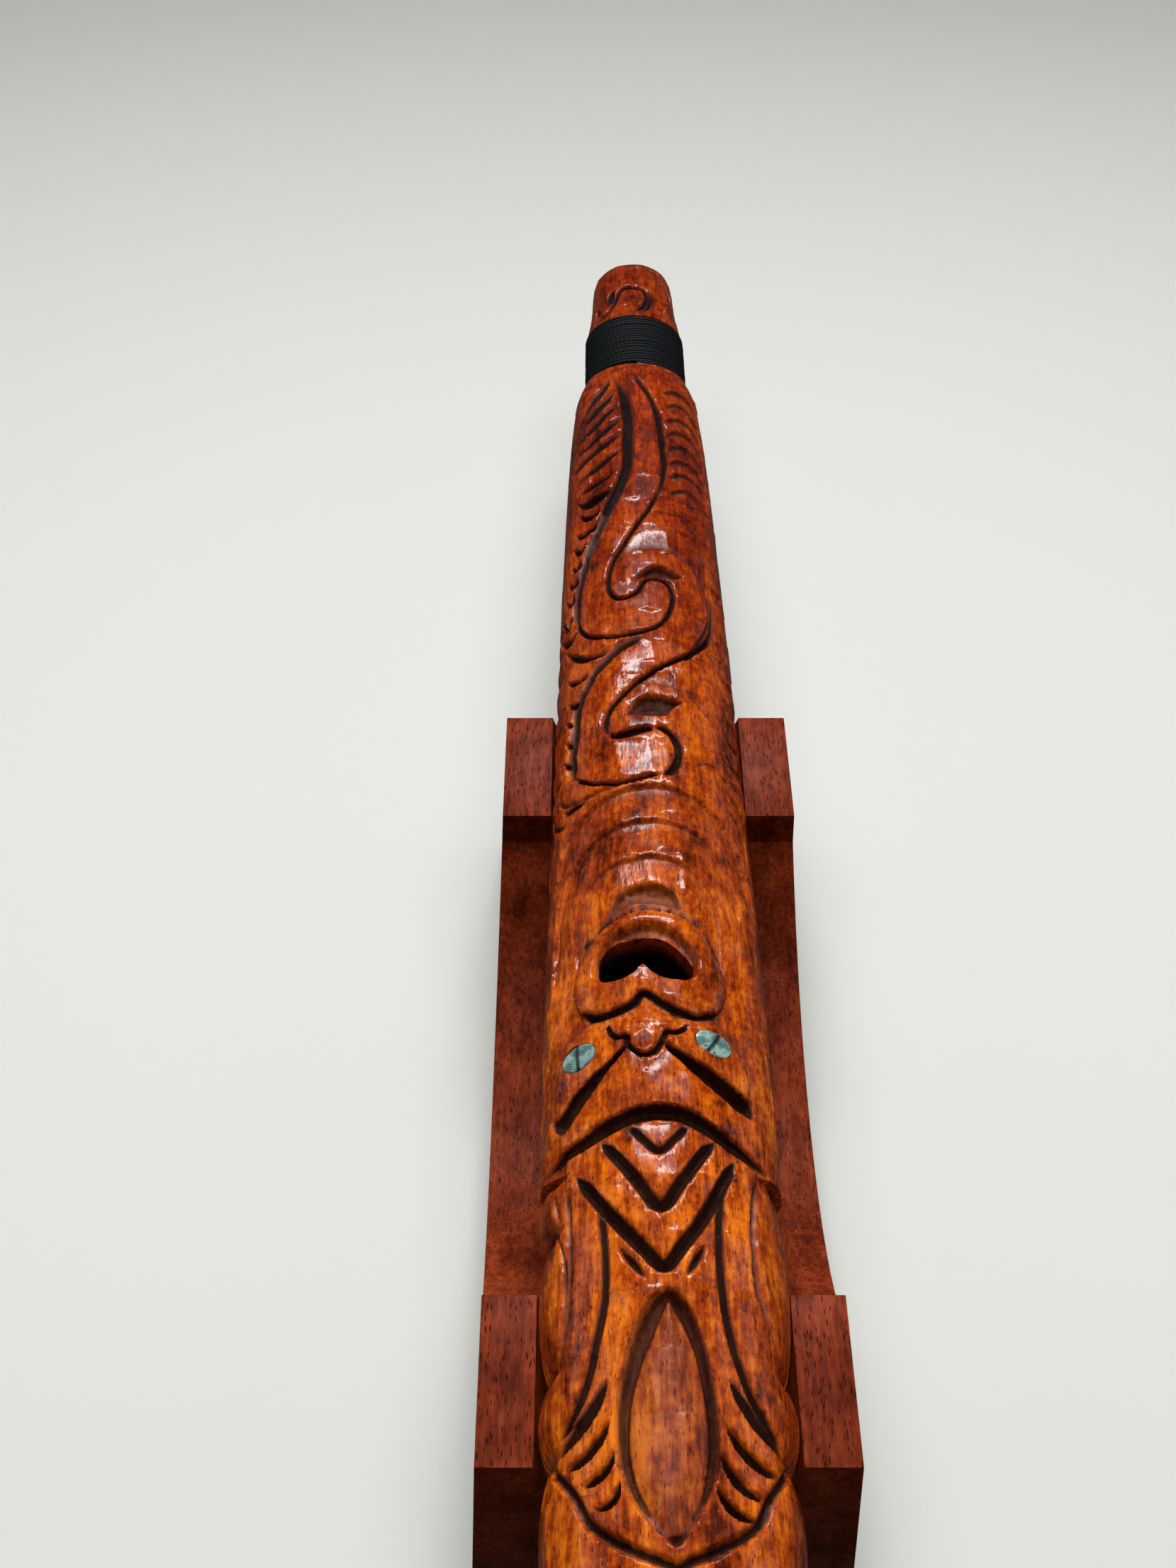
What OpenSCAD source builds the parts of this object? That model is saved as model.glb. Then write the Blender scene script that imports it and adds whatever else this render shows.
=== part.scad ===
// Carved bugle flute lying on its one-piece cradle stand.
// +Z is up, the flute lies along Y, and the origin is the middle of the stand's base.

/* [Stand] */
// Width across the top of each upright
stand_w = 66; // [62:1:80]
// Length of the stand along the flute, over both uprights
stand_l = 180; // [160:1:220]
// Height of the uprights
stand_h = 52; // [48:1:54]
// Thickness of each upright along the flute
upright_t = 31.5; // [24:0.5:36]
// Straight drop on the inner side of each upright, above the curved hollow
step_h = 9; // [6:0.5:12]
// Depth of the curved hollow below that drop
hollow_sag = 26.6; // [18:0.2:30]
// How far each long side leans out from top to base
side_flare = 2.6; // [0:0.2:6]
// How far each end leans out from top to base
end_flare = 6; // [0:0.5:8]
// Air between the flute and the notches that hold it
notch_gap = 0.5; // [0.3:0.1:1]

/* [Flute] */
// Overall length of the flute
flute_l = 560; // [520:2:600]
// Half of the flute's greatest width
mid_r = 22.8; // [21:0.1:24]
// Place along the flute where it is widest
wide_y = -20; // [-40:1:20]
// Half of its width where the shoulders begin
shoulder_r = 17; // [16.5:0.1:18.5]
// Height of the flute's section as a share of its width
flatness = 0.72; // [0.68:0.01:0.8]
// Height of the joint between its two halves above the ground
axis_z = 54; // [54:0.5:58]

/* [Bore] */
// Half of the bore's width in the middle
bore_mid_w = 13; // [10:0.5:14]
// Half of the bore's height in the middle
bore_mid_h = 8.5; // [7:0.5:9]
// Half of the bore's width at the blowing end
bore_blow_w = 5.6; // [4:0.1:6.5]
// Half of the bore's height at the blowing end
bore_blow_h = 4.2; // [3:0.1:4.6]
// Half of the bore's width at the foot end
bore_foot_w = 3.6; // [2.5:0.1:5]
// Half of the bore's height at the foot end
bore_foot_h = 3; // [2.5:0.1:5]

/* [Sound hole] */
// Width of the sound hole across the flute
hole_w = 20.4; // [16:0.2:21]
// Length of the sound hole along the flute
hole_l = 12.4; // [8:0.2:14]
// Side of the square tongue that points into the hole
tongue_side = 7; // [4:0.5:8]

/* [Bindings] */
// Length of each thread binding
bind_l = 25.5; // [16:0.5:28]
// Thickness of the wound thread over the wood
bind_t = 1.6; // [1:0.1:2]

/* [Eyes] */
// Length of each shell eye
eye_l = 7.6; // [6:0.2:9]
// Width of each shell eye
eye_w = 5.4; // [4:0.2:6]
// Thickness of the shell
eye_t = 1.8; // [1:0.1:2]
// Depth of the shell's crown below the flute's smooth outer surface
eye_depth = 0.5; // [0:0.1:1]

/* [Hidden] */

fit_gap = 0.04;
past = 1;

// Flute, measured from its middle towards either end
half_l = flute_l / 2;
cap_l = 34.5;
shoulder_l = 7;
cap_y = half_l - cap_l;
bind_y = cap_y - bind_l;
shoulder_y = bind_y - shoulder_l;
body_rings = 24;
core_r = 13.2;
step_slope = 0.2;
outer_steps = 26;
bore_steps = 28;
bore_rings = 16;
binding_steps = 52;

// Half-width of the smooth body at y: a long bulge, fuller towards the foot, that rounds
// over in the last few millimetres before each shoulder
function body_r(y) =
    let (t = y > wide_y ? (y - wide_y) / (shoulder_y - wide_y) : (wide_y - y) / (wide_y + shoulder_y))
    mid_r - (mid_r - shoulder_r) * (0.76 * pow(t, y > wide_y ? 1.3 : 1.9) + 0.24 * pow(t, 12));

// [distance from the middle, half-width] of the rings past a shoulder, out to the end
end_rings = [[shoulder_y + 0.45 * shoulder_l, 16.3], [bind_y - step_slope, 15], [bind_y, core_r],
    [cap_y, core_r], [cap_y + step_slope, 14.2], [cap_y + 5, 13.7], [cap_y + 11, 12.9],
    [cap_y + 17, 12.4], [cap_y + 25, 12.1], [half_l - 6, 11.8], [half_l - 3.5, 11.3],
    [half_l - 1.7, 10.5], [half_l - 0.5, 9.2], [half_l, 7.8]];

// The same for the whole flute, from the foot end (-Y) to the blowing end (+Y)
rings = concat(
    [for (i = [len(end_rings) - 1:-1:0]) [-end_rings[i][0], end_rings[i][1]]],
    [for (i = [0:body_rings]) let (y = shoulder_y * (2 * i / body_rings - 1)) [y, body_r(y)]],
    end_rings);

// Stand
gap_l = stand_l - 2 * upright_t;
hollow_top = stand_h - step_h;
hollow_r = (gap_l * gap_l / 4 + hollow_sag * hollow_sag) / (2 * hollow_sag);
hollow_z = hollow_top - hollow_sag + hollow_r;
notch_sides = 72;

// Half-width and half-height of the bore at y
bore_power = 1.6;
function bore_w(y) = bore_mid_w
    - (bore_mid_w - (y > 0 ? bore_blow_w : bore_foot_w)) * pow(abs(y) / half_l, bore_power);
function bore_h(y) = bore_mid_h
    - (bore_mid_h - (y > 0 ? bore_blow_h : bore_foot_h)) * pow(abs(y) / half_l, bore_power);

// The upper half of the flute's outline at y, from +X over the top to -X
function half_section(y, r) = [for (i = [0:outer_steps]) let (t = 180 * i / outer_steps)
    [r * cos(t), y, r * flatness * sin(t)]];

// A whole ellipse at y, whose corners stand clear of the joint plane
function oval_section(y, w, h, steps) = [for (i = [0:steps - 1]) let (t = 360 * (i + 0.5) / steps)
    [w * cos(t), y, h * sin(t)]];

// Where the flute's smooth surface is at y, t degrees from its top towards +X, and its lean there
function skin(t, y) = [body_r(y) * sin(t), y, body_r(y) * flatness * cos(t)];
function lean(t) = atan2(sin(t) * flatness, cos(t));

// Sound hole, and eyes: [angle from the top, place along the flute, turn of the long axis]
hole_x = -2.2;
hole_y = 4.8;
tongue_x = -3.2;
left_eye = [-44.3, -16.2, 14];
right_eye = [27.6, -14.8, -22];
oval_sides = 48;

module oval(w, l) {
    polygon([for (i = [0:oval_sides - 1]) let (t = 360 * i / oval_sides)
        [w / 2 * cos(t), l / 2 * sin(t)]]);
}

// A block whose four sides lean, from its footprint at z = 0 to its top
module leaning_block() {
    base_w = stand_w / 2 + side_flare;
    base_l = stand_l / 2 + end_flare;
    intersection() {
        rotate([90, 0, 90])
            translate([0, 0, -stand_w])
            linear_extrude(2 * stand_w)
            polygon([[-base_l, 0], [base_l, 0], [stand_l / 2, stand_h], [-stand_l / 2, stand_h]]);
        rotate([90, 0, 0])
            translate([0, 0, -stand_l])
            linear_extrude(2 * stand_l)
            polygon([[-base_w, 0], [base_w, 0], [stand_w / 2, stand_h], [-stand_w / 2, stand_h]]);
    }
}

// The gap between the uprights: straight sides above, an arc below
module hollow() {
    intersection() {
        translate([-stand_w, 0, hollow_z])
            rotate([0, 90, 0])
            cylinder(h = 2 * stand_w, r = hollow_r, $fn = 180);
        translate([-stand_w, -gap_l / 2, 0])
            cube([2 * stand_w, gap_l, stand_h + past]);
    }
}

// The notch in one upright, cut to the flute's section where it enters; side is 1 or -1 along Y
module notch(side) {
    enter_r = body_r(side * gap_l / 2);
    w = enter_r + notch_gap;
    h = enter_r * flatness + notch_gap;
    translate([0, side > 0 ? stand_l : 0, axis_z])
        rotate([90, 0, 0])
        linear_extrude(stand_l)
        polygon([for (i = [0:notch_sides - 1]) let (t = 360 * i / notch_sides)
            [w * cos(t), h * sin(t)]]);
}

// A closed skin over rows of points that follow each other along +Y, each row anticlockwise
// as seen from the foot end
module loft(rows) {
    n = len(rows[0]);
    last = n * (len(rows) - 1);
    polyhedron(
        points = [for (row = rows) each row],
        faces = concat(
            [[for (j = [n - 1:-1:0]) j]],
            [for (i = [0:len(rows) - 2], j = [0:n - 1]) let (k = (j + 1) % n)
                [n * i + j, n * i + k, n * (i + 1) + k, n * (i + 1) + j]],
            [[for (j = [0:n - 1]) last + j]]),
        convexity = 6);
}

// The hollow that both halves share, open at both ends of the flute
module bore() {
    bore_end = half_l + past;
    loft([for (i = [0:bore_rings]) let (y = bore_end * (2 * i / bore_rings - 1))
        oval_section(y, bore_w(y), bore_h(y), bore_steps)]);
}

// One half of the flute, hollowed, with its flat joint face at z = 0
module hollowed_half() {
    difference() {
        loft([for (ring = rings) half_section(ring[0], ring[1])]);
        bore();
    }
}

// The sound hole's plug: an oval with a pointed tongue left in it
module hole_plug() {
    difference() {
        translate([hole_x, hole_y, bore_mid_h / 3])
            linear_extrude(mid_r)
            oval(hole_w, hole_l);
        translate([tongue_x, hole_y - hole_l / 2 - 0.8, 0])
            rotate([0, 0, 45])
            translate([-tongue_side / 2, -tongue_side / 2, 0])
            cube([tongue_side, tongue_side, 2 * mid_r]);
    }
}

// A shell inlay in the flute's skin; grow widens it into the socket that holds it
module inlay(place, grow, rise) {
    translate(skin(place[0], place[1]))
        rotate([0, lean(place[0]), 0])
        rotate([0, 0, place[2]])
        translate([0, 0, -eye_depth - eye_t - grow])
        linear_extrude(eye_t + grow + rise)
        oval(eye_l + 2 * grow, eye_w + 2 * grow);
}

// A wound band of thread around the core of the flute, between two distances from its middle
module binding() {
    bind_r = core_r + bind_t;
    profile = [[bind_y + fit_gap, bind_r - 0.5], [bind_y + 0.9, bind_r],
               [cap_y - 0.9, bind_r - 0.7], [cap_y - fit_gap, bind_r - 1.2]];
    core = core_r + fit_gap;
    difference() {
        loft([for (row = profile) oval_section(row[0], row[1], row[1] * flatness, binding_steps)]);
        loft([for (y = [bind_y - past, cap_y + past])
            oval_section(y, core, core * flatness, binding_steps)]);
    }
}

module stand() {
    color("#8c4a2b")
        difference() {
            leaning_block();
            hollow();
            notch(1);
            notch(-1);
        }
}

module flute_front_half() {
    color("#9a4a20")
        translate([0, 0, axis_z])
        difference() {
            hollowed_half();
            hole_plug();
            inlay(left_eye, fit_gap, mid_r / 4);
            inlay(right_eye, fit_gap, mid_r / 4);
        }
}

module flute_back_half() {
    color("#7d3a1c")
        translate([0, 0, axis_z])
        mirror([0, 0, 1])
        hollowed_half();
}

module head_binding() {
    color("#17191a")
        translate([0, 0, axis_z])
        binding();
}

module tail_binding() {
    color("#17191a")
        translate([0, 0, axis_z])
        mirror([0, 1, 0])
        binding();
}

module left_eye_shell() {
    color("#5f8f86")
        translate([0, 0, axis_z])
        inlay(left_eye, 0, 0);
}

module right_eye_shell() {
    color("#5f8f86")
        translate([0, 0, axis_z])
        inlay(right_eye, 0, 0);
}

stand();
flute_front_half();
flute_back_half();
head_binding();
tail_binding();
left_eye_shell();
right_eye_shell();
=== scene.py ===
# %% [markdown]
# # A carved bugle flute on its cradle
# The object is a long wooden wind instrument, carved all over its upper half, that lies in the notches
# of a low one-piece stand. The CAD model gives every size and place. Here it is only loaded, and its
# parts are kept.

# %% Load the frame
import math

import bpy
import numpy as np
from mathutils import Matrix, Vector


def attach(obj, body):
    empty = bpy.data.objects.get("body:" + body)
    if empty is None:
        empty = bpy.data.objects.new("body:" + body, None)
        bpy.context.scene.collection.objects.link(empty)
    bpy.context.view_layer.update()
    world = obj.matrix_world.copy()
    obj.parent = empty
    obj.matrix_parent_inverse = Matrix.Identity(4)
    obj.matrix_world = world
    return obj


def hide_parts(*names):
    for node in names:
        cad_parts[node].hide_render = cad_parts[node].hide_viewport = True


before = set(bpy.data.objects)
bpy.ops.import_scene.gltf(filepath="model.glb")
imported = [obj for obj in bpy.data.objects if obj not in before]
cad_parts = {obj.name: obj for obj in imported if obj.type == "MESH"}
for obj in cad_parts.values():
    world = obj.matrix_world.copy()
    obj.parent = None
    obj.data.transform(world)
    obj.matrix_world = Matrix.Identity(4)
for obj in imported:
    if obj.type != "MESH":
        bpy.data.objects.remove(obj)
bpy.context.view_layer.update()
MM = 0.001
bpy.context.scene.view_settings.view_transform = "Standard"

# %% [markdown]
# ## Camera
# The object is looked down on from its foot end, a little over an arm's length away. A camera in Blender
# looks along its own -Z, so a turn of 90 degrees less the downward pitch about X aims it along +Y.

# %% Camera
PITCH = 46.87
camera_data = bpy.data.cameras.new("camera")
camera_data.sensor_width = 36
camera_data.lens = 40.69
camera_data.clip_start = 0.01
camera = bpy.data.objects.new("camera", camera_data)
bpy.context.scene.collection.objects.link(camera)
camera.location = Vector((-13.7, -210.5, 349.7)) * MM
camera.rotation_euler = (math.radians(90 - PITCH), 0, 0)
bpy.context.scene.camera = camera
print("camera looks down at", PITCH, "degrees")

# %% [markdown]
# ## Small helpers
# Every material is a handful of shader nodes. One helper adds a node, sets its values and links its
# inputs, so that a material reads as a short list. Colours are written as they look on a screen, in
# hex, and Blender works in linear light, so one function turns the first into the second.

# %% Node and colour helpers


def linear(hex_colour):
    """An sRGB hex colour as linear red, green, blue and alpha."""
    parts = [int(hex_colour[i:i + 2], 16) / 255 for i in (1, 3, 5)]
    return [c / 12.92 if c <= 0.04045 else ((c + 0.055) / 1.055) ** 2.4 for c in parts] + [1]


def add_node(material, kind, links=None, **settings):
    """Adds a shader node. Settings whose name is a property are set on the node, and the rest, with the
    links, name input sockets: a word, with _ for a space, or i and a number."""
    tree = material.node_tree
    node = tree.nodes.new("ShaderNode" + kind)

    def socket(name):
        if name[0] == "i" and name[1:].isdigit():
            return node.inputs[int(name[1:])]
        return node.inputs[name.replace("_", " ")]

    for name, value in settings.items():
        if hasattr(node, name):
            setattr(node, name, value)
        else:
            socket(name).default_value = value
    for name, output in (links or {}).items():
        tree.links.new(output, socket(name))
    return node


def new_material(name):
    """An empty node material."""
    material = bpy.data.materials.new(name)
    material.use_nodes = True
    material.node_tree.nodes.clear()
    return material


def ramp(material, value, stops, mode="LINEAR"):
    """A colour ramp over value: stops are (place, hex colour)."""
    node = add_node(material, "ValToRGB", {"Fac": value})
    node.color_ramp.interpolation = mode
    elements = node.color_ramp.elements
    while len(elements) < len(stops):
        elements.new(0.5)
    for element, (place, colour) in zip(elements, stops):
        element.position = place
        element.color = linear(colour)
    return node.outputs["Color"]


def finish_material(material, links, **settings):
    """Adds the surface shader and the output node."""
    shader = add_node(material, "BsdfPrincipled", links, **settings)
    add_node(material, "OutputMaterial", {"Surface": shader.outputs["BSDF"]})
    return material


print("helpers ready")

# %% [markdown]
# ## Floor and light
# The object stands in a white light tent: a pale sweep of card below, and soft light from above and from
# the far side. Little light comes from the camera's side, which leaves the faces turned to the camera
# deep and dark. The card doesn't light the object and isn't mirrored in it, for the same reason. Further
# out, where the lights don't reach, the card glows a little, so that it runs into the backdrop as a sweep
# does.

# %% Floor
FLOOR_SIZE = 8
BACKDROP = linear("#c4c5c2")
NEAR_EDGE, FAR_EDGE = 0.75, 1.4
bpy.ops.object.select_all(action="DESELECT")
bpy.ops.mesh.primitive_plane_add(size=FLOOR_SIZE, location=(0, 0, 0))
floor = bpy.context.object
floor.name = "floor"
floor.visible_diffuse = False
floor.visible_glossy = False

card = new_material("matt white card")
spot = add_node(card, "TexCoord").outputs["Object"]
away = add_node(card, "VectorMath", {"i0": spot}, operation="LENGTH").outputs["Value"]
sweep = add_node(card, "MapRange", {"Value": away}, From_Min=NEAR_EDGE, From_Max=FAR_EDGE)
finish_material(card, {"Emission_Strength": sweep.outputs[0]}, Base_Color=linear("#d0d1cd"), Roughness=0.9,
                Specular_IOR_Level=0.2, Emission_Color=BACKDROP)
floor.data.materials.append(card)
print("floor of", FLOOR_SIZE, "m, glowing from", NEAR_EDGE, "m outwards")

# %% [markdown]
# The world gives two things: a dim warm light on the object, and a pale backdrop that only the camera's
# own rays see. A Mix Shader with the Light Path node's Is Camera Ray keeps the two apart.

# %% World
AMBIENT_STRENGTH = 0.055
world = bpy.data.worlds.new("studio")
world.use_nodes = True
tree = world.node_tree
ambient = tree.nodes["Background"]
ambient.inputs["Color"].default_value = linear("#f6f1ea")
ambient.inputs["Strength"].default_value = AMBIENT_STRENGTH
backdrop = tree.nodes.new("ShaderNodeBackground")
backdrop.inputs["Color"].default_value = BACKDROP
seen = tree.nodes.new("ShaderNodeLightPath")
either = tree.nodes.new("ShaderNodeMixShader")
tree.links.new(seen.outputs["Is Camera Ray"], either.inputs["Fac"])
tree.links.new(ambient.outputs[0], either.inputs[1])
tree.links.new(backdrop.outputs[0], either.inputs[2])
tree.links.new(either.outputs[0], tree.nodes["World Output"].inputs["Surface"])
bpy.context.scene.world = world
print("world:", world.name)

# %% [markdown]
# Large area lights give the long soft glints that show varnish and tool marks. The broad key lights aren't
# mirrored, and one narrow light at the back is, so that the glints stay small and bright.

# %% Lights


def area_light(name, place, aim, size, watts, beam=180, glints=True):
    """A soft rectangular light at place, turned towards aim, with a beam that many degrees wide. Sizes and
    places are in metres. Without glints it lights surfaces but isn't mirrored in them."""
    data = bpy.data.lights.new(name, "AREA")
    data.shape = "RECTANGLE"
    data.size, data.size_y = size
    data.energy = watts
    data.spread = math.radians(beam)
    lamp = bpy.data.objects.new(name, data)
    bpy.context.scene.collection.objects.link(lamp)
    lamp.location = place
    lamp.rotation_euler = (Vector(aim) - Vector(place)).to_track_quat("-Z", "Y").to_euler()
    lamp.visible_glossy = glints


area_light("tent back", (0, 1.0, 1.1), (0, -0.08, 0), (1.1, 0.5), 1.9, 56, False)
area_light("tent top", (0, -0.02, 1.25), (0, -0.02, 0), (1.2, 0.9), 3.4, 90, False)
area_light("glint back", (0, 0.95, 1.0), (0, 0.05, 0.05), (0.55, 0.16), 2.0, 120)
for side, sign in (("left", -1), ("right", 1)):
    area_light("tent " + side, (sign * 1.1, 0.3, 0.7), (0, 0, 0.05), (0.7, 0.6), 0.8)
    area_light("low " + side, (sign * 0.85, 0.6, 0.2), (0, 0.05, 0.05), (0.8, 0.35), 0.13)

# %% [markdown]
# ## The flute's smooth shape
# Before any carving, the maker shapes the flute as a long bulge that is oval in section, a little fuller
# towards the foot, with a neck at each end for the thread. The CAD model is that smooth shape, and the
# same few numbers describe it here, because the carving is measured inwards from it.

# %% Smooth profile of the flute
AXIS_Z = 54
FLATNESS = 0.72
HALF_LENGTH = 280
WIDE_Y = -20
MID_RADIUS = 22.8
SHOULDER_RADIUS = 17
SHOULDER_Y = 213
BIND_START = 220
BIND_END = 245.5
CORE_RADIUS = 13.2
END_RINGS = [(216.15, 16.3), (219.8, 15), (BIND_START, CORE_RADIUS), (BIND_END, CORE_RADIUS),
             (245.7, 14.2), (250.5, 13.7), (256.5, 12.9), (262.5, 12.4), (270.5, 12.1), (274, 11.8),
             (276.5, 11.3), (278.3, 10.5), (279.5, 9.2), (HALF_LENGTH, 7.8)]


def body_radius(y):
    """Half-width of the smooth flute at y, in mm. It falls off gently, and faster close to the shoulder."""
    y = np.asarray(y, float)
    far = y > WIDE_Y
    share = np.where(far, (y - WIDE_Y) / (SHOULDER_Y - WIDE_Y), (WIDE_Y - y) / (WIDE_Y + SHOULDER_Y))
    share = np.clip(share, 0, 1)
    power = np.where(far, 1.3, 1.9)
    bulge = MID_RADIUS - (MID_RADIUS - SHOULDER_RADIUS) * (0.76 * share ** power + 0.24 * share ** 12)
    places, radii = zip(*([(SHOULDER_Y, SHOULDER_RADIUS)] + END_RINGS))
    return np.where(np.abs(y) <= SHOULDER_Y, bulge, np.interp(np.abs(y), places, radii))


def bore_size(y):
    """Half-width and half-height of the bore at y, in mm."""
    share = (np.abs(y) / HALF_LENGTH) ** 1.6
    wide = 13 - (13 - np.where(y > 0, 5.6, 3.6)) * share
    high = 8.5 - (8.5 - np.where(y > 0, 4.2, 3.0)) * share
    return wide, high


print("flute half-width at its middle:", round(float(body_radius(0)), 2), "mm")

# %% [markdown]
# ## A skin to carve
# The relief has hundreds of small cuts, with a steep wall on one side and a long ramp on the other. The
# mesh operators can't give that many soft, crossing cuts, so the skin is a fine sheet of points, as a
# sculptor's dense mesh is, and each cut is a small function that says how deep it goes at every point.
# A point is named by y along the flute and u, the way round from the top line, both in mm. Depth is how far
# the wood is cut away there, and shade is how dark it is painted, partly as stain and partly as painted
# shade.

# %% The sheet of points
ROW_STEP = 0.34
COLUMNS = 188
LEAST_STEP = 0.06
corner_rows = [sign * place for place, _ in END_RINGS for sign in (-1, 1)]
plain_rows = np.linspace(-HALF_LENGTH, HALF_LENGTH, int(2 * HALF_LENGTH / ROW_STEP) + 1)
row_y = np.unique(np.round(np.concatenate([plain_rows, corner_rows]), 3))
row_y = row_y[np.concatenate([[True], np.diff(row_y) > LEAST_STEP])]
angle = np.linspace(-math.pi / 2, math.pi / 2, COLUMNS)
radius = body_radius(row_y)
slope = np.sqrt(np.cos(angle) ** 2 + (FLATNESS * np.sin(angle)) ** 2)
way = np.concatenate([[0], np.cumsum((slope[1:] + slope[:-1]) / 2 * np.diff(angle))])
way = way - way[-1] / 2
Y = np.repeat(row_y[:, None], COLUMNS, axis=1)
U = radius[:, None] * way[None, :]
depth = np.zeros_like(Y)
shade = np.zeros_like(Y)
print("sheet of", Y.shape, "points, half of the way round is", round(float(U.max()), 1), "mm")

# %% [markdown]
# ## Carving tools
# A carver has few tools: a V-tool and gouge for grooves, a knife for notches shaped like leaves, a chisel
# for steps, and a spoon gouge for hollows. Each is one function here. All of them follow a smooth curve
# through a few points. Where two grooves or hollows cross, the deeper one counts, as with real cuts.

# %% Curves and distances


def smooth(points, per_span=7):
    """A smooth curve through points, as many short straight steps."""
    p = np.array(points, float)
    if len(p) < 3:
        return p
    p = np.vstack([2 * p[0] - p[1], p, 2 * p[-1] - p[-2]])
    t = np.linspace(0, 1, per_span, endpoint=False)[:, None]
    spans = [0.5 * (2 * b + (c - a) * t + (2 * a - 5 * b + 4 * c - d) * t ** 2
                    + (3 * b - a - 3 * c + d) * t ** 3)
             for a, b, c, d in zip(p, p[1:], p[2:], p[3:])]
    return np.vstack(spans + [p[-2][None, :]])


def rows_near(low, high):
    """The slice of rows between two places along the flute."""
    return slice(int(np.searchsorted(row_y, low)), int(np.searchsorted(row_y, high)))


def measure(curve, reach):
    """For the rows near a curve: distance to it, signed with + on its left, and the share of the way
    along it from 0 to 1. Points further off than reach keep a large distance."""
    rows = rows_near(curve[:, 1].min() - reach, curve[:, 1].max() + reach)
    u, y = U[rows], Y[rows]
    best = np.full(u.shape, 1e6)
    signed = np.full(u.shape, 1e6)
    share = np.zeros(u.shape)
    steps = np.diff(curve, axis=0)
    lengths = np.hypot(steps[:, 0], steps[:, 1])
    total = lengths.sum()
    start = 0.0
    first = rows.start
    for (au, ay), (du, dy), length in zip(curve[:-1], steps, lengths):
        near = rows_near(min(ay, ay + dy) - reach, max(ay, ay + dy) + reach)
        part = slice(near.start - first, near.stop - first)
        pu, py = u[part] - au, y[part] - ay
        along = np.clip((pu * du + py * dy) / max(length * length, 1e-9), 0, 1)
        away = np.hypot(pu - along * du, py - along * dy)
        side = np.where(du * py - dy * pu >= 0, 1.0, -1.0)
        closer = away < best[part]
        best[part] = np.where(closer, away, best[part])
        signed[part] = np.where(closer, away * side, signed[part])
        share[part] = np.where(closer, (start + along * length) / total, share[part])
        start += length
    return rows, signed, share


def inside(outline):
    """For the rows near a closed outline: the distance inside it, negative outside."""
    closed = smooth(list(outline) + [outline[0]], 5)
    rows, signed, _ = measure(closed, 8)
    u, y = U[rows], Y[rows]
    within = np.zeros(u.shape, bool)
    for (au, ay), (bu, by) in zip(closed[:-1], closed[1:]):
        if ay != by:
            crosses = (ay > y) != (by > y)
            within ^= crosses & (u < (bu - au) * (y - ay) / (by - ay) + au)
    away = np.abs(signed)
    return rows, np.where(within, away, -away)


def cut(rows, amount, dark=1.0):
    """Keeps the deeper of the sheet and a new cut, and paints it darker where it is deep, partly as stain
    and partly as painted shade.
    """
    depth[rows] = np.maximum(depth[rows], amount)
    shade[rows] = np.maximum(shade[rows], dark * np.clip(amount / 1.1, 0, 1))


# %% [markdown]
# A cut's cross-section is a formula of the distance to its curve, and its ends thin out by a formula of the
# share of the way along. Steps and raised parts add to the depth, because they move the ground itself.

# %% Grooves, notches, steps and hollows
TAPERS = {"both": lambda s: np.sin(np.pi * np.clip(s, 0, 1)) ** 0.55,
          "start": lambda s: np.clip(s / 0.3, 0, 1) ** 0.7,
          "tips": lambda s: np.clip(np.minimum(s, 1 - s) / 0.08, 0, 1) ** 0.7}
WALL_CURVE = 0.62


def groove(points, width, deep, lean=0.0, taper="tips", dark=1.0):
    """A V-cut along a curve, with slightly bulging walls. Lean moves its lowest line towards the curve's
    left (+) or right (-), which makes one wall steep and the other a ramp. Taper says where it thins out."""
    rows, off, share = measure(smooth(points), width + 1)
    narrowing = TAPERS[taper](share)
    half = np.maximum(width / 2 * narrowing, 0.05)
    across = off / half
    fall = np.where(across < lean, (across + 1) / (lean + 1), (1 - across) / (1 - lean))
    cut(rows, np.clip(fall, 0, 1) ** WALL_CURVE * deep * narrowing, dark)


def leaf(tip, end, width, deep, bow):
    """A notch shaped like a leaf, pointed at tip, that bows to one side on its way to end."""
    (tu, ty), (eu, ey) = tip, end
    length = math.hypot(eu - tu, ey - ty)
    nu, ny = -(ey - ty) / length, (eu - tu) / length
    points = []
    for share in (0, 0.25, 0.5, 0.75, 1):
        off = bow * 4 * share * (1 - share)
        points.append((tu + (eu - tu) * share + nu * off, ty + (ey - ty) * share + ny * off))
    groove(points, width, deep, 0.5 if eu < tu else -0.5, "both")


def step(points, deep, run, side=1, dark=0.6, wall=0.5):
    """A terrace: on the left (side 1) or right (side -1) of the curve the ground drops within wall mm, and
    climbs back over run mm."""
    rows, off, share = measure(smooth(points), run + 1)
    off = off * side
    drop = np.clip(off / wall, 0, 1) * np.clip(1 - (off - wall) / run, 0, 1) ** 1.2
    ends = TAPERS["tips"](share)
    relief = deep * drop * ends * (off > 0) * (off < run + wall)
    depth[rows] += relief
    # The drop is painted darker, partly as stain and partly as painted shade.
    shade[rows] = np.maximum(shade[rows], dark * np.clip(relief / 0.9, 0, 1) ** 2)


def hollow(outline, deep, wall=0.8, dark=0.5):
    """A pocket with a sloping wall and a floor dished towards its middle."""
    rows, within = inside(outline)
    middle = max(float(within.max()), 0.5)
    bowl = np.clip(within / wall, 0, 1) * (0.7 + 0.3 * np.clip(within / middle, 0, 1))
    cut(rows, deep * bowl, dark)


def sink_outside(outline, deep, wall, run):
    """Lowers the ground round an outline, so that what is inside it stands proud."""
    rows, within = inside(outline)
    out = -within
    fall = np.clip(out / wall, 0, 1) * np.clip(1 - (out - wall) / run, 0, 1)
    depth[rows] += deep * fall * (out > 0)


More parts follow.
